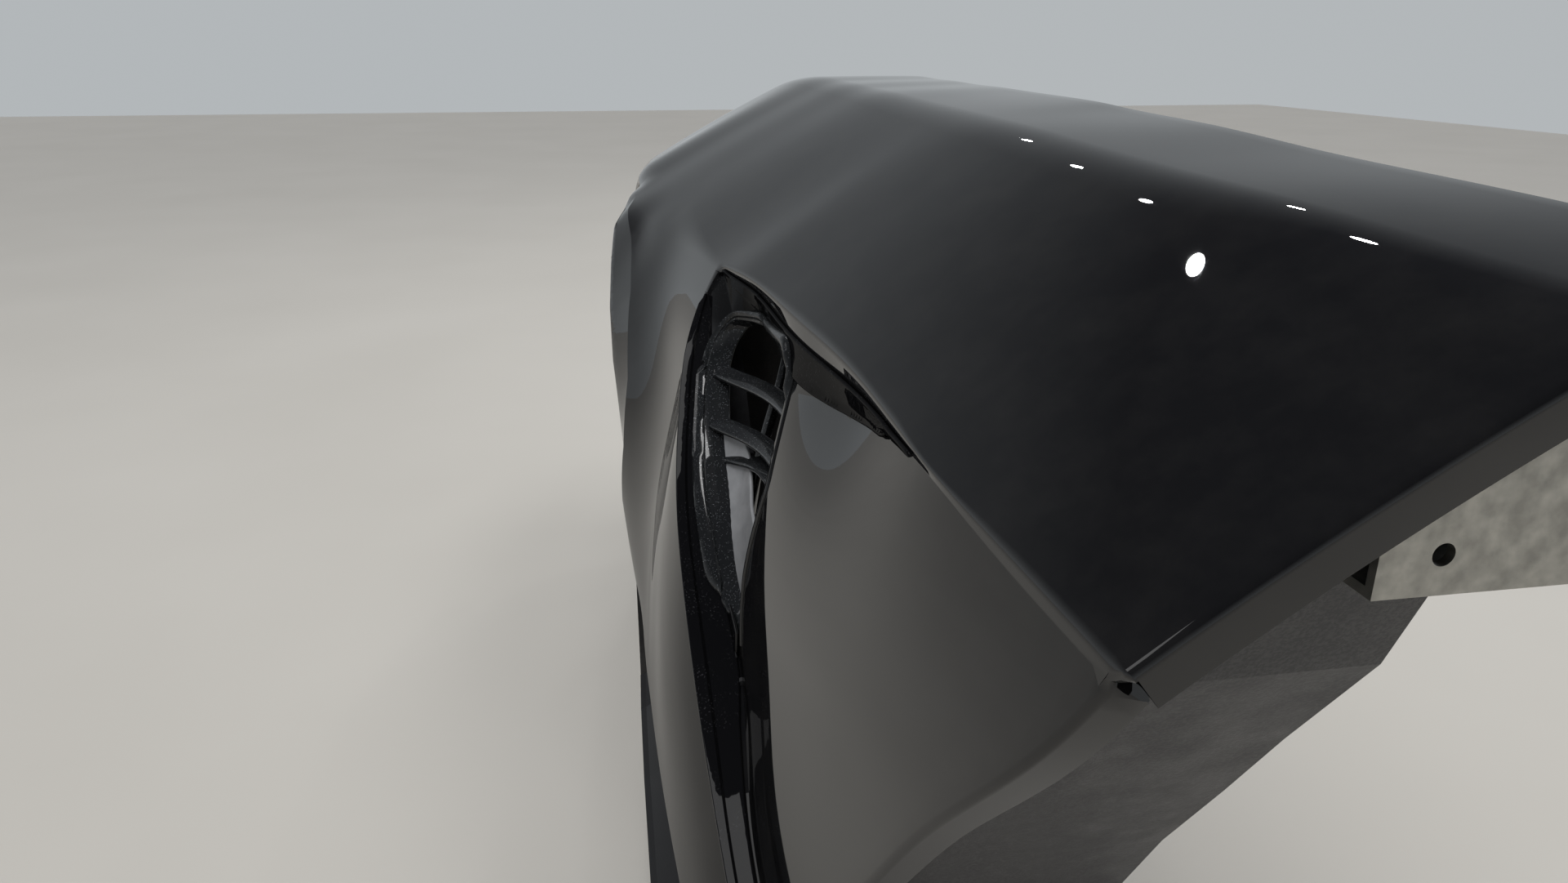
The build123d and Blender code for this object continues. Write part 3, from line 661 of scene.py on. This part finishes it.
def surround_at(x, row):
    """Outer face of the surround: straight from the shoulder to its fold, then along the skin."""
    fold = np.maximum(skin_rows(x, np.interp(x, fold_x, fold_z)), float(eave_row))
    share = np.clip((row - shoulder_edge) / np.maximum(fold - shoulder_edge, 1e-6), 0, 1)[:, None]
    top = base_skin(x, np.full(len(x), shoulder_edge))
    face = np.where(row[:, None] < fold[:, None], top + (base_skin(x, fold) - top) * share, base_skin(x, row))
    height = surround_low + (surround_rim - surround_low) * np.clip((row - rim_step + 0.2) / 0.4, 0, 1)
    normal = unit(skin_normal(x, row) + skin_normal(x, np.maximum(row, fold)))
    return face + normal * height[:, None]


# The inner edge is tucked under the grille's rim, from its lower rear corner over its front
tuck = offset_line(softened(rim_corners, rim_bend), 3.0, closed=True)
tuck = np.concatenate((tuck[7 * corner_steps - 4:], tuck[:3 * corner_steps + 3]))
outer_corners = np.array((
    (-990, 41.6), (-930, shoulder_edge), (apex_x, shoulder_edge), (apex_x, ledge_edge),
    (surround_back, ledge_edge)))
outer_edge = softened(outer_corners * (1, row_width), 8, closed=False) * (1, 1 / row_width)
surround_edge = np.concatenate((
    outer_edge, [(surround_back, foot_edge), (-815, foot_edge), (-772, 67.2)],
    np.column_stack((tuck[:, 0], skin_rows(tuck[:, 0], tuck[:, 1]))), [(-756, 43.2), (-930, 43.2)],
)) / (surround_cell, 1)
surround_edge = stepped(closed_up(surround_edge), 0.9)
ridges = [[(x / surround_cell, row) for x in np.arange(-524, surround_back + 4, -6.0)]
          for row in (rim_step - 0.2, rim_step + 0.2)]
chains = [surround_edge, *ridges]
on_surround = within(surround_edge)
scatter = spread(
    np.arange(apex_x, surround_back, -surround_cell) / surround_cell, np.arange(38, 74, 0.5), on_surround)
flat, faces = triangulate(clear_of(chains, scatter, 0.4, 1), chains, on_surround)
face = surround_at(flat[:, 0] * surround_cell, flat[:, 1])
surround = piece_from("surround_moulding", *walled(face, faces, surround_wall), gloss, "gloss_trim", 28)
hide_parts("vent_surround")


# Grille: one moulding in the opening. A rounded rim rides on the surround and
# slopes into a funnel; louvre blades run across it and a strut stands behind
# them. Its black has a fine metal flake.
flake = Finish("flaked_black", Specular_IOR_Level=0.15, Roughness=0.22, Coat_Roughness=0.04)
# Painted shade: the clear coat is made thin towards the top, so the grille's upper rim reflects less and reads
# darker than its sides.
flake.set("Coat Weight", 0.9 - flake.climb(-0.17, -0.135) * 0.65)
glint = flake.cells(0.0011).between(0.26, 0.14) * flake.noise(0.0022, 1).between(0.5, 0.62)
flake.colour(glint, (0.012, 0.013, 0.014), (0.5, 0.52, 0.55))
flake.set("Metallic", glint * 0.9)
flake.bump(flake.noise(0.005, 1), 0.00002)
funnel_wall = 2.0
funnel_corners = (
    (-585, 650), (-624, 655), (-690, 653), (-738, 652), (-769, 577), (-766, 502), (-770, 456), (-738, 477),
    (-694, 527), (-625, 591), (-599, 613), (-588, 631),
)
# How far along from rim to funnel's foot, and how deep behind the surface, ring by ring
funnel_rings = (
    (-0.12, -3.6), (-0.10, -4.8), (-0.04, -5.9), (0.05, -6.4), (0.14, -6.0), (0.22, -4.9), (0.30, -3.2),
    (0.45, -0.5), (0.6, 2.5), (0.72, 5), (0.85, 8.5), (1.0, 13),
)
# Behind its rear upper corner, which the surround leaves free, the rim lies deeper
rear_depth, rear_x, rear_top = 9.5, (-757, -741), 669


def matched(corners):
    """A rounded closed outline with the same number of points between its corners."""
    line = softened(corners, rim_bend)
    line = np.concatenate((line, line[:corner_steps]))
    starts = range(corner_steps // 2, len(line) - corner_steps, corner_steps)
    return np.concatenate([evenly(line[a:a + corner_steps + 1], 14) for a in starts])


def bands(rings, count):
    """Quads between closed rings of count points each."""
    return [(a + i, a + count + i, a + count + (i + 1) % count, a + (i + 1) % count)
            for a in range(0, (rings - 1) * count, count) for i in range(count)]


rim_line, funnel_line = matched(rim_corners), matched(funnel_corners)
behind = np.interp(rim_line[:, 0], rear_x, (1, 0)) * (rim_line[:, 1] < rear_top)
rings = []
for share, depth in funnel_rings:
    x, z = (rim_line + (funnel_line - rim_line) * share).T
    row = skin_rows(x, z)
    depth = depth + behind * rear_depth * (1 - max(share, 0))
    surface = np.where((depth < 0)[:, None], surround_at(x, np.minimum(row, 69.3)), base_skin(x, row))
    ring = surface + skin_normal(x, row) * np.maximum(-depth - surround_low, 0)[:, None]
    ring[:, 1] -= np.maximum(depth, 0)
    rings.append(ring)
faces = np.array([t for a, d, c, b in bands(len(rings), len(rim_line)) for t in ((a, b, c), (a, c, d))])
face = np.concatenate(rings)
funnel = piece_from("grille_funnel", *walled(face, faces, funnel_wall), flake, "gloss_trim", 50)
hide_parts("vent_grille")


class Repeat(Graph):
    """A geometry tree with named inputs that turns a mesh of places into real pieces."""

    def __init__(self, name, **inputs):
        self.tree = bpy.data.node_groups.new(name, "GeometryNodeTree")
        sockets = self.tree.interface
        sockets.new_socket("Places", in_out="INPUT", socket_type="NodeSocketGeometry")
        sockets.new_socket("Material", in_out="INPUT", socket_type="NodeSocketMaterial")
        for label, value in inputs.items():
            kind = "NodeSocketInt" if isinstance(value, int) else "NodeSocketFloat"
            sockets.new_socket(label, in_out="INPUT", socket_type=kind).default_value = value
        sockets.new_socket("Pieces", in_out="OUTPUT", socket_type="NodeSocketGeometry")
        self.given = self.tree.nodes.new("NodeGroupInput")

    def input(self, label):
        return Wire(self, self.given.outputs[label])

    def close(self, made):
        real = self.node("GeometryNodeRealizeInstances", {"Geometry": made})
        final = self.node("GeometryNodeSetMaterial", {"Geometry": real, "Material": self.input("Material")})
        self.feed(self.tree.nodes.new("NodeGroupOutput").inputs["Pieces"], final)

    def run(self, name, places, edges, finish, slot, facing=None, **values):
        made, mesh = meshed(name, places, edges, [])
        if facing is not None:
            layer = mesh.attributes.new("facing", "FLOAT_VECTOR", "POINT")
            layer.data.foreach_set("vector", np.asarray(facing, float).ravel())
        modifier = made.modifiers.new("repeat", "NODES")
        modifier.node_group = self.tree
        values["Material"] = finish.material
        for item in self.tree.interface.items_tree:
            if item.name in values:
                modifier[item.identifier] = values[item.name]
        settle(made)
        shade(made.data, 32)
        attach(made, "root")


# A bar of rounded section, swept along each path of a mesh of lines
bar = Repeat("bar_along_path", Width=0.02, Height=0.004, Round=0.0015, Tilt=0.0)
outline = bar.node("GeometryNodeCurvePrimitiveQuadrilateral", {
    "Width": bar.input("Width"), "Height": bar.input("Height")})
outline = bar.node("GeometryNodeFilletCurve", {
    "Curve": outline, "Count": 5, "Limit Radius": True, "Radius": bar.input("Round")}, mode="POLY")
path = bar.node("GeometryNodeMeshToCurve", {"Mesh": bar.input("Places")})
path = bar.node("GeometryNodeSetCurveNormal", {"Curve": path}, mode="Z_UP")
path = bar.node("GeometryNodeSetCurveTilt", {"Curve": path, "Tilt": bar.input("Tilt")})
bar.close(bar.node("GeometryNodeCurveToMesh", {
    "Curve": path, "Profile Curve": outline, "Fill Caps": True}))


def merged(parts):
    """Points and faces, or points and edges, of several parts as one."""
    points, faces = [], []
    for part, part_faces in parts:
        faces += [tuple(i + len(points) for i in face) for face in part_faces]
        points += list(part)
    return points, faces


def paths(*lines):
    return merged((line, [(i, i + 1) for i in range(len(line) - 1)]) for line in lines)


# Each blade's middle line: its front end, where it passes the strut, and its rear end
blade_knots = (
    ((-592, 866, 610), (-684, 828, 615), (-775, 822, 619)),
    ((-626, 877, 577), (-694, 840, 579), (-775, 832, 582)),
    ((-658, 865, 555), (-702, 843, 564), (-775, 836, 570)),
)
blade_lines = [softened(knots, 60, closed=False, steps=24) for knots in blade_knots]
bar.run("louvre_blades", *paths(*blade_lines), flake, "gloss_trim",
        Width=0.017, Height=0.0045, Round=0.0021, Tilt=math.atan(0.375))
strut_knots = (
    (-653, 811, 664), (-664, 816, 642), (-676, 825, 614), (-682, 835, 586), (-688, 843, 562),
    (-700, 852, 520),
)
strut_line = softened(strut_knots, 12, closed=False)
bar.run("grille_strut", *paths(strut_line), flake, "gloss_trim", Width=0.006, Height=0.009, Round=0.002)

# Bead: the fine roll that the skin has behind the opening's rear edge, moulded
# with it and painted with it.
bead_corners = ((-750, 653), (-782, 577), (-777.5, 500), (-783, 449))
bead_line = stepped(softened(bead_corners, 9, closed=False), 4)
bar.run("skin_bead", *paths(base_skin(bead_line[:, 0], skin_rows(*bead_line.T))), paint, "body_paint",
        Width=0.0028, Height=0.0026, Round=0.00125)


# Blank: a flat plate in the grille's lower corner, bare, with a rolled edge, in
# a paler grey lacquer. It clips into the funnel from behind.
blank_lacquer = Finish("grey_lacquer", IOR=1.45, Roughness=0.22, Coat_Weight=0.6, Coat_Roughness=0.05)
mottle = blank_lacquer.noise(0.018, 3).between(0.3, 0.7)
blank_lacquer.colour(mottle, (0.23, 0.235, 0.245), (0.31, 0.315, 0.325))
blank_lacquer.bump(blank_lacquer.noise(0.004, 1), 0.000015)
plate_corners = (
    (-636, 579), (-656, 580), (-692, 560), (-727, 537), (-767, 526), (-770, 455), (-738, 474), (-691, 525),
)
plate_wall, plate_cell, plate_sink = 3.0, 6.0, 7
plate_edge = softened(plate_corners, 4)
plate_edge = evenly(closed_up(plate_edge), int(lengths(plate_edge)[-1] / 3.0))
on_plate = within(plate_edge)
scatter = spread(np.arange(-770, -620, plate_cell), np.arange(450, 600, plate_cell), on_plate)
flat, faces = triangulate(clear_of([plate_edge], scatter, plate_cell / 2), [closed_up(plate_edge)], on_plate)
plate_face = base_skin(flat[:, 0], skin_rows(*flat.T)) - (0, plate_sink, 0)
blank = piece_from(
    "blank_plate", *walled(plate_face, faces[:, ::-1], plate_wall), blank_lacquer, "gloss_trim", 40)
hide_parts("grille_blank")


# Hood gutter: the skin's inboard flange, a flat floor with a row of open bolt
# holes, and the tab that turns inboard at its door end. Both are painted.
def circle(u, v, radius, count):
    return arc_points(u, v, radius, np.linspace(0, 2 * math.pi, count + 1)[:-1])


def cut_plate(outline, holes, column, level, wall):
    """A flat plate with holes and hemmed edges, level in one of x, y and z."""
    flat, faces = triangulate(
        [], [closed_up(ring) for ring in (outline, *holes)],
        lambda p: within(outline)(p) & ~np.any([within(hole)(p) for hole in holes], axis=0))
    return walled(np.insert(flat, column, level, axis=1), faces, wall)


gutter_inboard, gutter_outboard, gutter_wall = 489.5, 520.5, 3.0
gutter_bolt_y, bolt_hole_r, bolt_pitch, bolt_middle = 504.0, 3.5, 160.0, -400.0
floor_outline = softened((
    (gutter_back, gutter_inboard), (gutter_front, gutter_inboard), (gutter_front, gutter_outboard),
    (gutter_back, gutter_outboard)), 5)
bolt_holes = [circle(bolt_middle + (i - 3.5) * bolt_pitch, gutter_bolt_y, bolt_hole_r, 28) for i in range(8)]
gutter_floor = cut_plate(floor_outline, bolt_holes, 2, gutter_top, gutter_wall)
piece_from("hood_gutter", *gutter_floor, paint, "body_paint")
tab_x, tab_wall = -1201.0, 2.8
tab_outline = softened(((481.6, 790.5), (526, 790.5), (526, 801.0), (481.6, 801.0)), 3)
piece_from("door_edge_tab", *cut_plate(tab_outline, [], 0, tab_x, tab_wall), paint, "body_paint")


# Hood seal: an extruded rubber bulb on a foot, pressed on the gutter's floor
# outboard of its bolts.
rubber = Finish("seal_rubber", Specular_IOR_Level=0.35)
bloom = rubber.noise(0.012, 4, 0.6).between(0.45, 0.75)
rubber.colour(bloom, (0.012, 0.012, 0.012), (0.035, 0.034, 0.033))
rubber.set("Roughness", bloom * 0.2 + 0.6)
rubber.bump(rubber.noise(0.0006, 2) + rubber.noise(0.004, 1), 0.00006)


def lofted(rings):
    """A closed body through rings of as many points each, capped at both ends."""
    count = len(rings[0])
    last = (len(rings) - 1) * count
    caps = [tuple(range(count)), tuple(range(last + count - 1, last - 1, -1))]
    return np.concatenate(rings), bands(len(rings), count) + caps


bulb_y, bulb_z, bulb_r = 513.5, 802.3, 3.4
bulb = arc_points(bulb_y, bulb_z, bulb_r, np.radians(np.linspace(-52, 232, 25)))
seal_section = np.array((
    (510.1, 792.1), (516.9, 792.1), (516.9, 794.6), (515.2, 796), *bulb, (511.8, 796), (510.1, 794.6)))
seal_rings = [np.insert(seal_section, 0, x, axis=1) for x in np.linspace(174.5, -1011.5, 60)]
bulb_seal = piece_from("hood_bulb_seal", *lofted(seal_rings), rubber, "seal_rubber", 40)
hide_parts("hood_seal")

# Hood stops: two turned rubber buffers with grooves, screwed into the gutter's
# floor inboard of the seal. The profile is radius and z.
stop_profile = (
    (5.6, 792.1), (5.9, 792.6), (5.9, 794), (5.0, 794.8), (4.9, 796.2), (5.8, 797), (5.9, 798.6), (5.0, 799.4),
    (4.9, 800.8), (5.8, 801.6), (5.9, 804.2), (5.2, 806), (3.6, 806.8), (1.5, 806.95),
)
stop_places, stop_y, stop_sides = (-720, -80), 500, 40
stop_profile = softened(stop_profile, 0.8, closed=False, steps=4)[::-1]
stop_bodies = [
    lofted([np.insert(circle(x, stop_y, r, stop_sides), 2, z, axis=1) for r, z in stop_profile])
    for x in stop_places]
stops = piece_from("hood_stops", *merged(stop_bodies), rubber, "seal_rubber", 40)
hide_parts("hood_bumpers")


# Wheelhouse liner: pressed fibre felt in two halves, with shallow swages across
# its crown. Push clips hold its rim behind the lip and its inboard edge.
felt = Finish("pressed_felt", Specular_IOR_Level=0.2)
lint = felt.noise(0.0009, 3, 0.7)
felt.colour(lint.between(0.35, 0.72) * 0.6 + felt.noise(0.05, 3).between(0.4, 0.7) * 0.4,
            (0.010, 0.010, 0.011), (0.045, 0.043, 0.041))
felt.set("Roughness", lint.between(0.2, 0.8) * 0.15 + 0.82)
felt.bump(lint + felt.noise(0.006, 2), 0.0005)
liner_crown_r, liner_rim_r, liner_wall = wheel_r + 43.0, wheel_r + 3.3, 2.5
liner_inboard_y, liner_outboard_y = 600, 960
liner_profile_y = (liner_inboard_y, 790, 865, liner_outboard_y)
liner_profile_r = (liner_crown_r, liner_crown_r, liner_rim_r, liner_rim_r)
# Its rim ends behind the lip, a little farther back where the lip has no turned edge
liner_end_angles = (-100, -66, -60, *lip_angles[1:4], 0, 8, 14, *lip_angles[5:])
liner_end_y = (896, 902, 905, *[y - 6 for y in lip_y[1:4]], 897, 899, 911, *[y - 6 for y in lip_y[5:]])
swage_pitch, swage_rise, swage_fade = 12.5, 3.0, 14
swage_inboard_y, swage_outboard_y = 622, 772
steps_round, steps_across = 133, 48


def liner_surface(angle, share):
    """Inner face of the liner: share runs from its inboard edge to its rim."""
    edge = np.interp(angle, liner_end_angles, liner_end_y)
    y = liner_inboard_y + (edge - liner_inboard_y) * share
    near = abs((angle % swage_pitch) - swage_pitch / 2)
    inner = np.clip((y - swage_inboard_y) / swage_fade, 0, 1)
    outer = np.clip((swage_outboard_y - y) / swage_fade, 0, 1)
    ridge = np.clip(1.7 - near / 1.4, 0, 1) * inner * outer
    r = np.interp(y, liner_profile_y, liner_profile_r) - swage_rise * (3 * ridge ** 2 - 2 * ridge ** 3)
    turn = np.radians(angle)
    return np.column_stack((-r * np.sin(turn), y, wheel_z + r * np.cos(turn)))


at = np.arange(steps_round * steps_across).reshape(steps_round, steps_across)
a, b, c, d = (corner.ravel() for corner in (at[:-1, :-1], at[1:, :-1], at[1:, 1:], at[:-1, 1:]))
liner_faces = np.concatenate((np.column_stack((b, c, a)), np.column_stack((c, d, a))))
for name, first, last in (("liner_front", -100, -1), ("liner_rear", 0, 100)):
    angles, shares = np.meshgrid(
        np.linspace(first, last, steps_round), np.linspace(0, 1, steps_across), indexing="ij")
    sheet = liner_surface(angles.ravel(), shares.ravel())
    half = piece_from(name + "_felt", *walled(sheet, liner_faces, liner_wall), felt, "liner_plastic", 50)
    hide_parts(name)

# A turned head over a collar: hexagonal for a bolt, round for a clip or a rivet
fastener = Repeat("fastener", Collar=0.008, Head=0.005, Rise=0.004, Sides=6)
collar_r, head_r, rise, sides = map(fastener.input, ("Collar", "Head", "Rise", "Sides"))
collar, head = (
    fastener.node("GeometryNodeMeshCone", {
        "Vertices": count, "Radius Top": r * taper, "Radius Bottom": r, "Depth": depth}, fill_type="NGON")
    for count, r, taper, depth in ((28, collar_r, 0.86, rise * 0.3), (sides, head_r, 0.9, rise * 0.8)))
lift = fastener.node("ShaderNodeCombineXYZ", {"Z": rise * 0.2})
head = fastener.node("GeometryNodeTransform", {"Geometry": head, "Translation": lift})
joined = fastener.node("GeometryNodeJoinGeometry", {"Geometry": collar})
fastener.feed(fastener.tree.nodes["Join Geometry"].inputs["Geometry"], head)
aim = fastener.node(
    "GeometryNodeInputNamedAttribute", {"Name": "facing"}, "Attribute", data_type="FLOAT_VECTOR")
turned = fastener.node("FunctionNodeAlignRotationToVector", {"Vector": aim}, axis="Z")
points_of = fastener.node("GeometryNodeMeshToPoints", {"Mesh": fastener.input("Places")})
fastener.close(fastener.node("GeometryNodeInstanceOnPoints", {
    "Points": points_of, "Instance": joined, "Rotation": turned}))

moulded = Finish("grained_plastic", Specular_IOR_Level=0.4)
grain = moulded.cells(0.0013)
moulded.colour(moulded.noise(0.03, 4).between(0.4, 0.7), (0.022, 0.022, 0.024), (0.04, 0.04, 0.041))
moulded.set("Roughness", grain.between(0.1, 0.7) * 0.2 + 0.48)
moulded.bump(grain + moulded.noise(0.0007, 2) * 0.6, 0.00012)
clip_sink, rim_margin, inboard_clip_y = 0.4, 5, 611
clips = [(angle, wheel_r, np.interp(angle, liner_end_angles, liner_end_y) - rim_margin)
         for angle in np.arange(-56, 80, 11.2)]
clips += [(angle, liner_crown_r, inboard_clip_y) for angle in np.arange(-93.75, 94, swage_pitch)]
clip_places, clip_facing = [], []
for angle, radius, y in clips:
    turn = math.radians(angle)
    out = np.array((-math.sin(turn), 0, math.cos(turn)))
    clip_places.append(out * (radius - clip_sink) + (0, y, wheel_z))
    clip_facing.append(-out)
fastener.run("liner_clips", clip_places, [], moulded, "black_plastic", facing=clip_facing,
             Collar=0.009, Head=0.0046, Rise=0.003, Sides=24)


# Duct, bumper rail and mud guard: injection mouldings in grained black plastic,
# as the CAD has them. The rail and the guard are held by push clips.
def finished(finish, *names):
    """Gives CAD nodes their finish."""
    for name in names:
        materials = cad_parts[name].data.materials
        materials.clear()
        materials.append(finish.material)


finished(moulded, "vent_duct", "bumper_rail", "mud_guard")


# Doubler and closing panel: bare pressed composite, chopped strands showing in
# its resin. Blind rivets hold the doubler under the crest, in two rows.
finished(composite, "crest_doubler", "closing_panel")
rivet_pitch = 63.0
rivet_places = []
for x in np.arange(-1130, 140, rivet_pitch):
    for y, sink in ((594, 5.4), (655, 8.4)):
        under = base_skin(np.array([x]), np.array([top_row(x, y)]))[0]
        rivet_places.append(under - (0, 0, sink))

# Brackets: folded steel plate, zinc plated and passivated, with hexagon bolts
# down into the closing panel and the sill. The pillar's holes stay open.
zinc = Finish("zinc_plate", Metallic=1.0)
zinc.colour(zinc.noise(0.01, 4).between(0.35, 0.7), (0.34, 0.335, 0.31), (0.52, 0.51, 0.47))
zinc.set("Roughness", zinc.noise(0.004, 3).between(0.3, 0.7) * 0.2 + 0.3)
zinc.bump(zinc.noise(0.0015, 3), 0.00003)
finished(zinc, "upper_pillar_bracket", "lower_pillar_bracket")
fastener.run("doubler_rivets", rivet_places, [], zinc, "plated_steel",
             facing=[(0, 0, -1)] * len(rivet_places), Collar=0.0048, Head=0.0028, Rise=0.0018, Sides=16)
bolt_places = [(-1181, 592, 700.2), (-1181, 678, 700.2), (-966, 792, 275.5), (-966, 872, 275.5)]
fastener.run("bracket_bolts", bolt_places, [], zinc, "plated_steel",
             facing=[(0, 0, 1)] * len(bolt_places), Collar=0.0085, Head=0.0058, Rise=0.0065, Sides=6)

# Lamp shelf: folded aluminium sheet with a pad for the headlamp's lug. It keeps
# its mill finish, with the fine lines of rolling along the car.
mill = Finish("mill_aluminium", Metallic=1.0)
rolled = mill.node("ShaderNodeMapping", {"Vector": mill.place, "Scale": (6.0, 420.0, 60.0)})
rolled = mill.node("ShaderNodeTexNoise", {"Vector": rolled, "Scale": 1.0, "Detail": 3.0})
mill.colour(rolled.between(0.3, 0.7), (0.5, 0.5, 0.52), (0.66, 0.66, 0.68))
mill.set("Roughness", rolled.between(0.3, 0.7) * 0.16 + 0.28)
mill.bump(rolled, 0.00002)
finished(mill, "lamp_shelf")

# Sill blade: satin black moulding under the sill, flared outboard at its foot,
# with fine scuffs and road dust scattered over it.
satin = Finish("satin_plastic", Specular_IOR_Level=0.45)
scuff = satin.noise(0.002, 5, 0.8).between(0.6, 0.72) * satin.noise(0.05, 2).between(0.45, 0.6)
satin.colour(scuff, (0.017, 0.017, 0.018), (0.06, 0.058, 0.055))
satin.set("Roughness", scuff * 0.3 + 0.36)
satin.bump(satin.cells(0.0011) + scuff * 2.0, 0.00006)
finished(satin, "sill_blade")

# CAD nodes that finer pieces stand for: they aren't shown, and carry a plain
# finish of their kind.
finished(gloss, "fender_panel", "vent_surround", "vent_grille", "grille_blank")
finished(rubber, "liner_front", "liner_rear", "hood_seal", "hood_bumpers")


# Floor, backdrop and light: a plain pale floor, a pale room that is dim
# overhead, and broad soft lamps with six small ones in the ceiling.
floor_z = -0.789
concrete = Finish("floor", Roughness=0.42)
concrete.colour(concrete.noise(0.7, 3), (0.5, 0.48, 0.44), (0.56, 0.54, 0.5))
floor_mesh = bpy.data.meshes.new("floor")
floor_corners = [(x, y, floor_z) for x, y in ((-9, -9), (14, -9), (14, 9), (-9, 9))]
floor_mesh.from_pydata(floor_corners, [], [(0, 1, 2, 3)])
floor_mesh.materials.append(concrete.material)
floor = placed("floor", floor_mesh)

world = bpy.data.worlds.new("room")
bpy.context.scene.world = world
world.use_nodes = True
room = Graph()
room.tree = world.node_tree
around = room.node("ShaderNodeTexCoord", {}, "Generated")
upward = room.node("ShaderNodeSeparateXYZ", {"Vector": around}, "Z")
fading = room.mix(upward.between(0.06, 0.62), (0.45, 0.475, 0.49), (0.035, 0.037, 0.045))
seen = room.node("ShaderNodeBackground", {"Color": fading})
lighting = room.node("ShaderNodeBackground", {"Color": (0.62, 0.63, 0.66), "Strength": 0.35})
rays = [room.node("ShaderNodeLightPath", {}, kind) for kind in (
    "Is Camera Ray", "Is Glossy Ray", "Is Transmission Ray")]
backdrop = room.node("ShaderNodeMixShader", {0: rays[0] + rays[1] + rays[2], 1: lighting, 2: seen})
room.feed(room.tree.nodes["World Output"].inputs["Surface"], backdrop)


def soft_lamp(name, at, aim, size, power, shape="RECTANGLE"):
    lamp = bpy.data.lights.new(name, "AREA")
    lamp.shape, lamp.size, lamp.size_y, lamp.energy = shape, size[0], size[1], power
    made = placed(name, lamp)
    made.location = at
    made.rotation_euler = (Vector(aim) - Vector(at)).to_track_quat("-Z", "Y").to_euler()


soft_lamp("key", (0.5, 3.4, 3.6), (-0.2, 0.3, -0.2), (2.4, 1.6), 16)
soft_lamp("top", (-0.5, -1.2, 3.4), (0, 0, 0), (2.6, 1.0), 50)
sky = bpy.data.lights.new("overhead", "SUN")
sky.energy, sky.angle = 1.8, math.radians(50)
overhead = placed("overhead", sky)
overhead.rotation_euler = (math.radians(-12), math.radians(-8), 0)
overhead.visible_glossy = False
ceiling_places = ((2.1, 0.35), (2.8, 0.0), (3.8, -0.5), (5.2, -1.1), (2.0, -1.2), (3.2, -2.0))
for i, (x, y) in enumerate(ceiling_places):
    soft_lamp("ceiling_" + str(i), (x, y, 2.3), (x, y, 0), (0.11, 0.11), 5, "DISK")

# The photograph's camera, from its own place beside the door
camera = placed("camera", bpy.data.cameras.new("camera"))
camera.data.sensor_width, camera.data.lens = 36.0, 25.0
camera.data.clip_start = 0.02
camera.matrix_world = Matrix((
    (-0.1633, 0.3417, -0.9255, -1.1), (-0.9866, -0.05655, 0.1532, 0.453), (0.0, 0.938, 0.3463, 0.091),
    (0, 0, 0, 1),
))
bpy.context.scene.camera = camera
bpy.context.scene.view_settings.view_transform = "Standard"

bpy.context.view_layer.update()
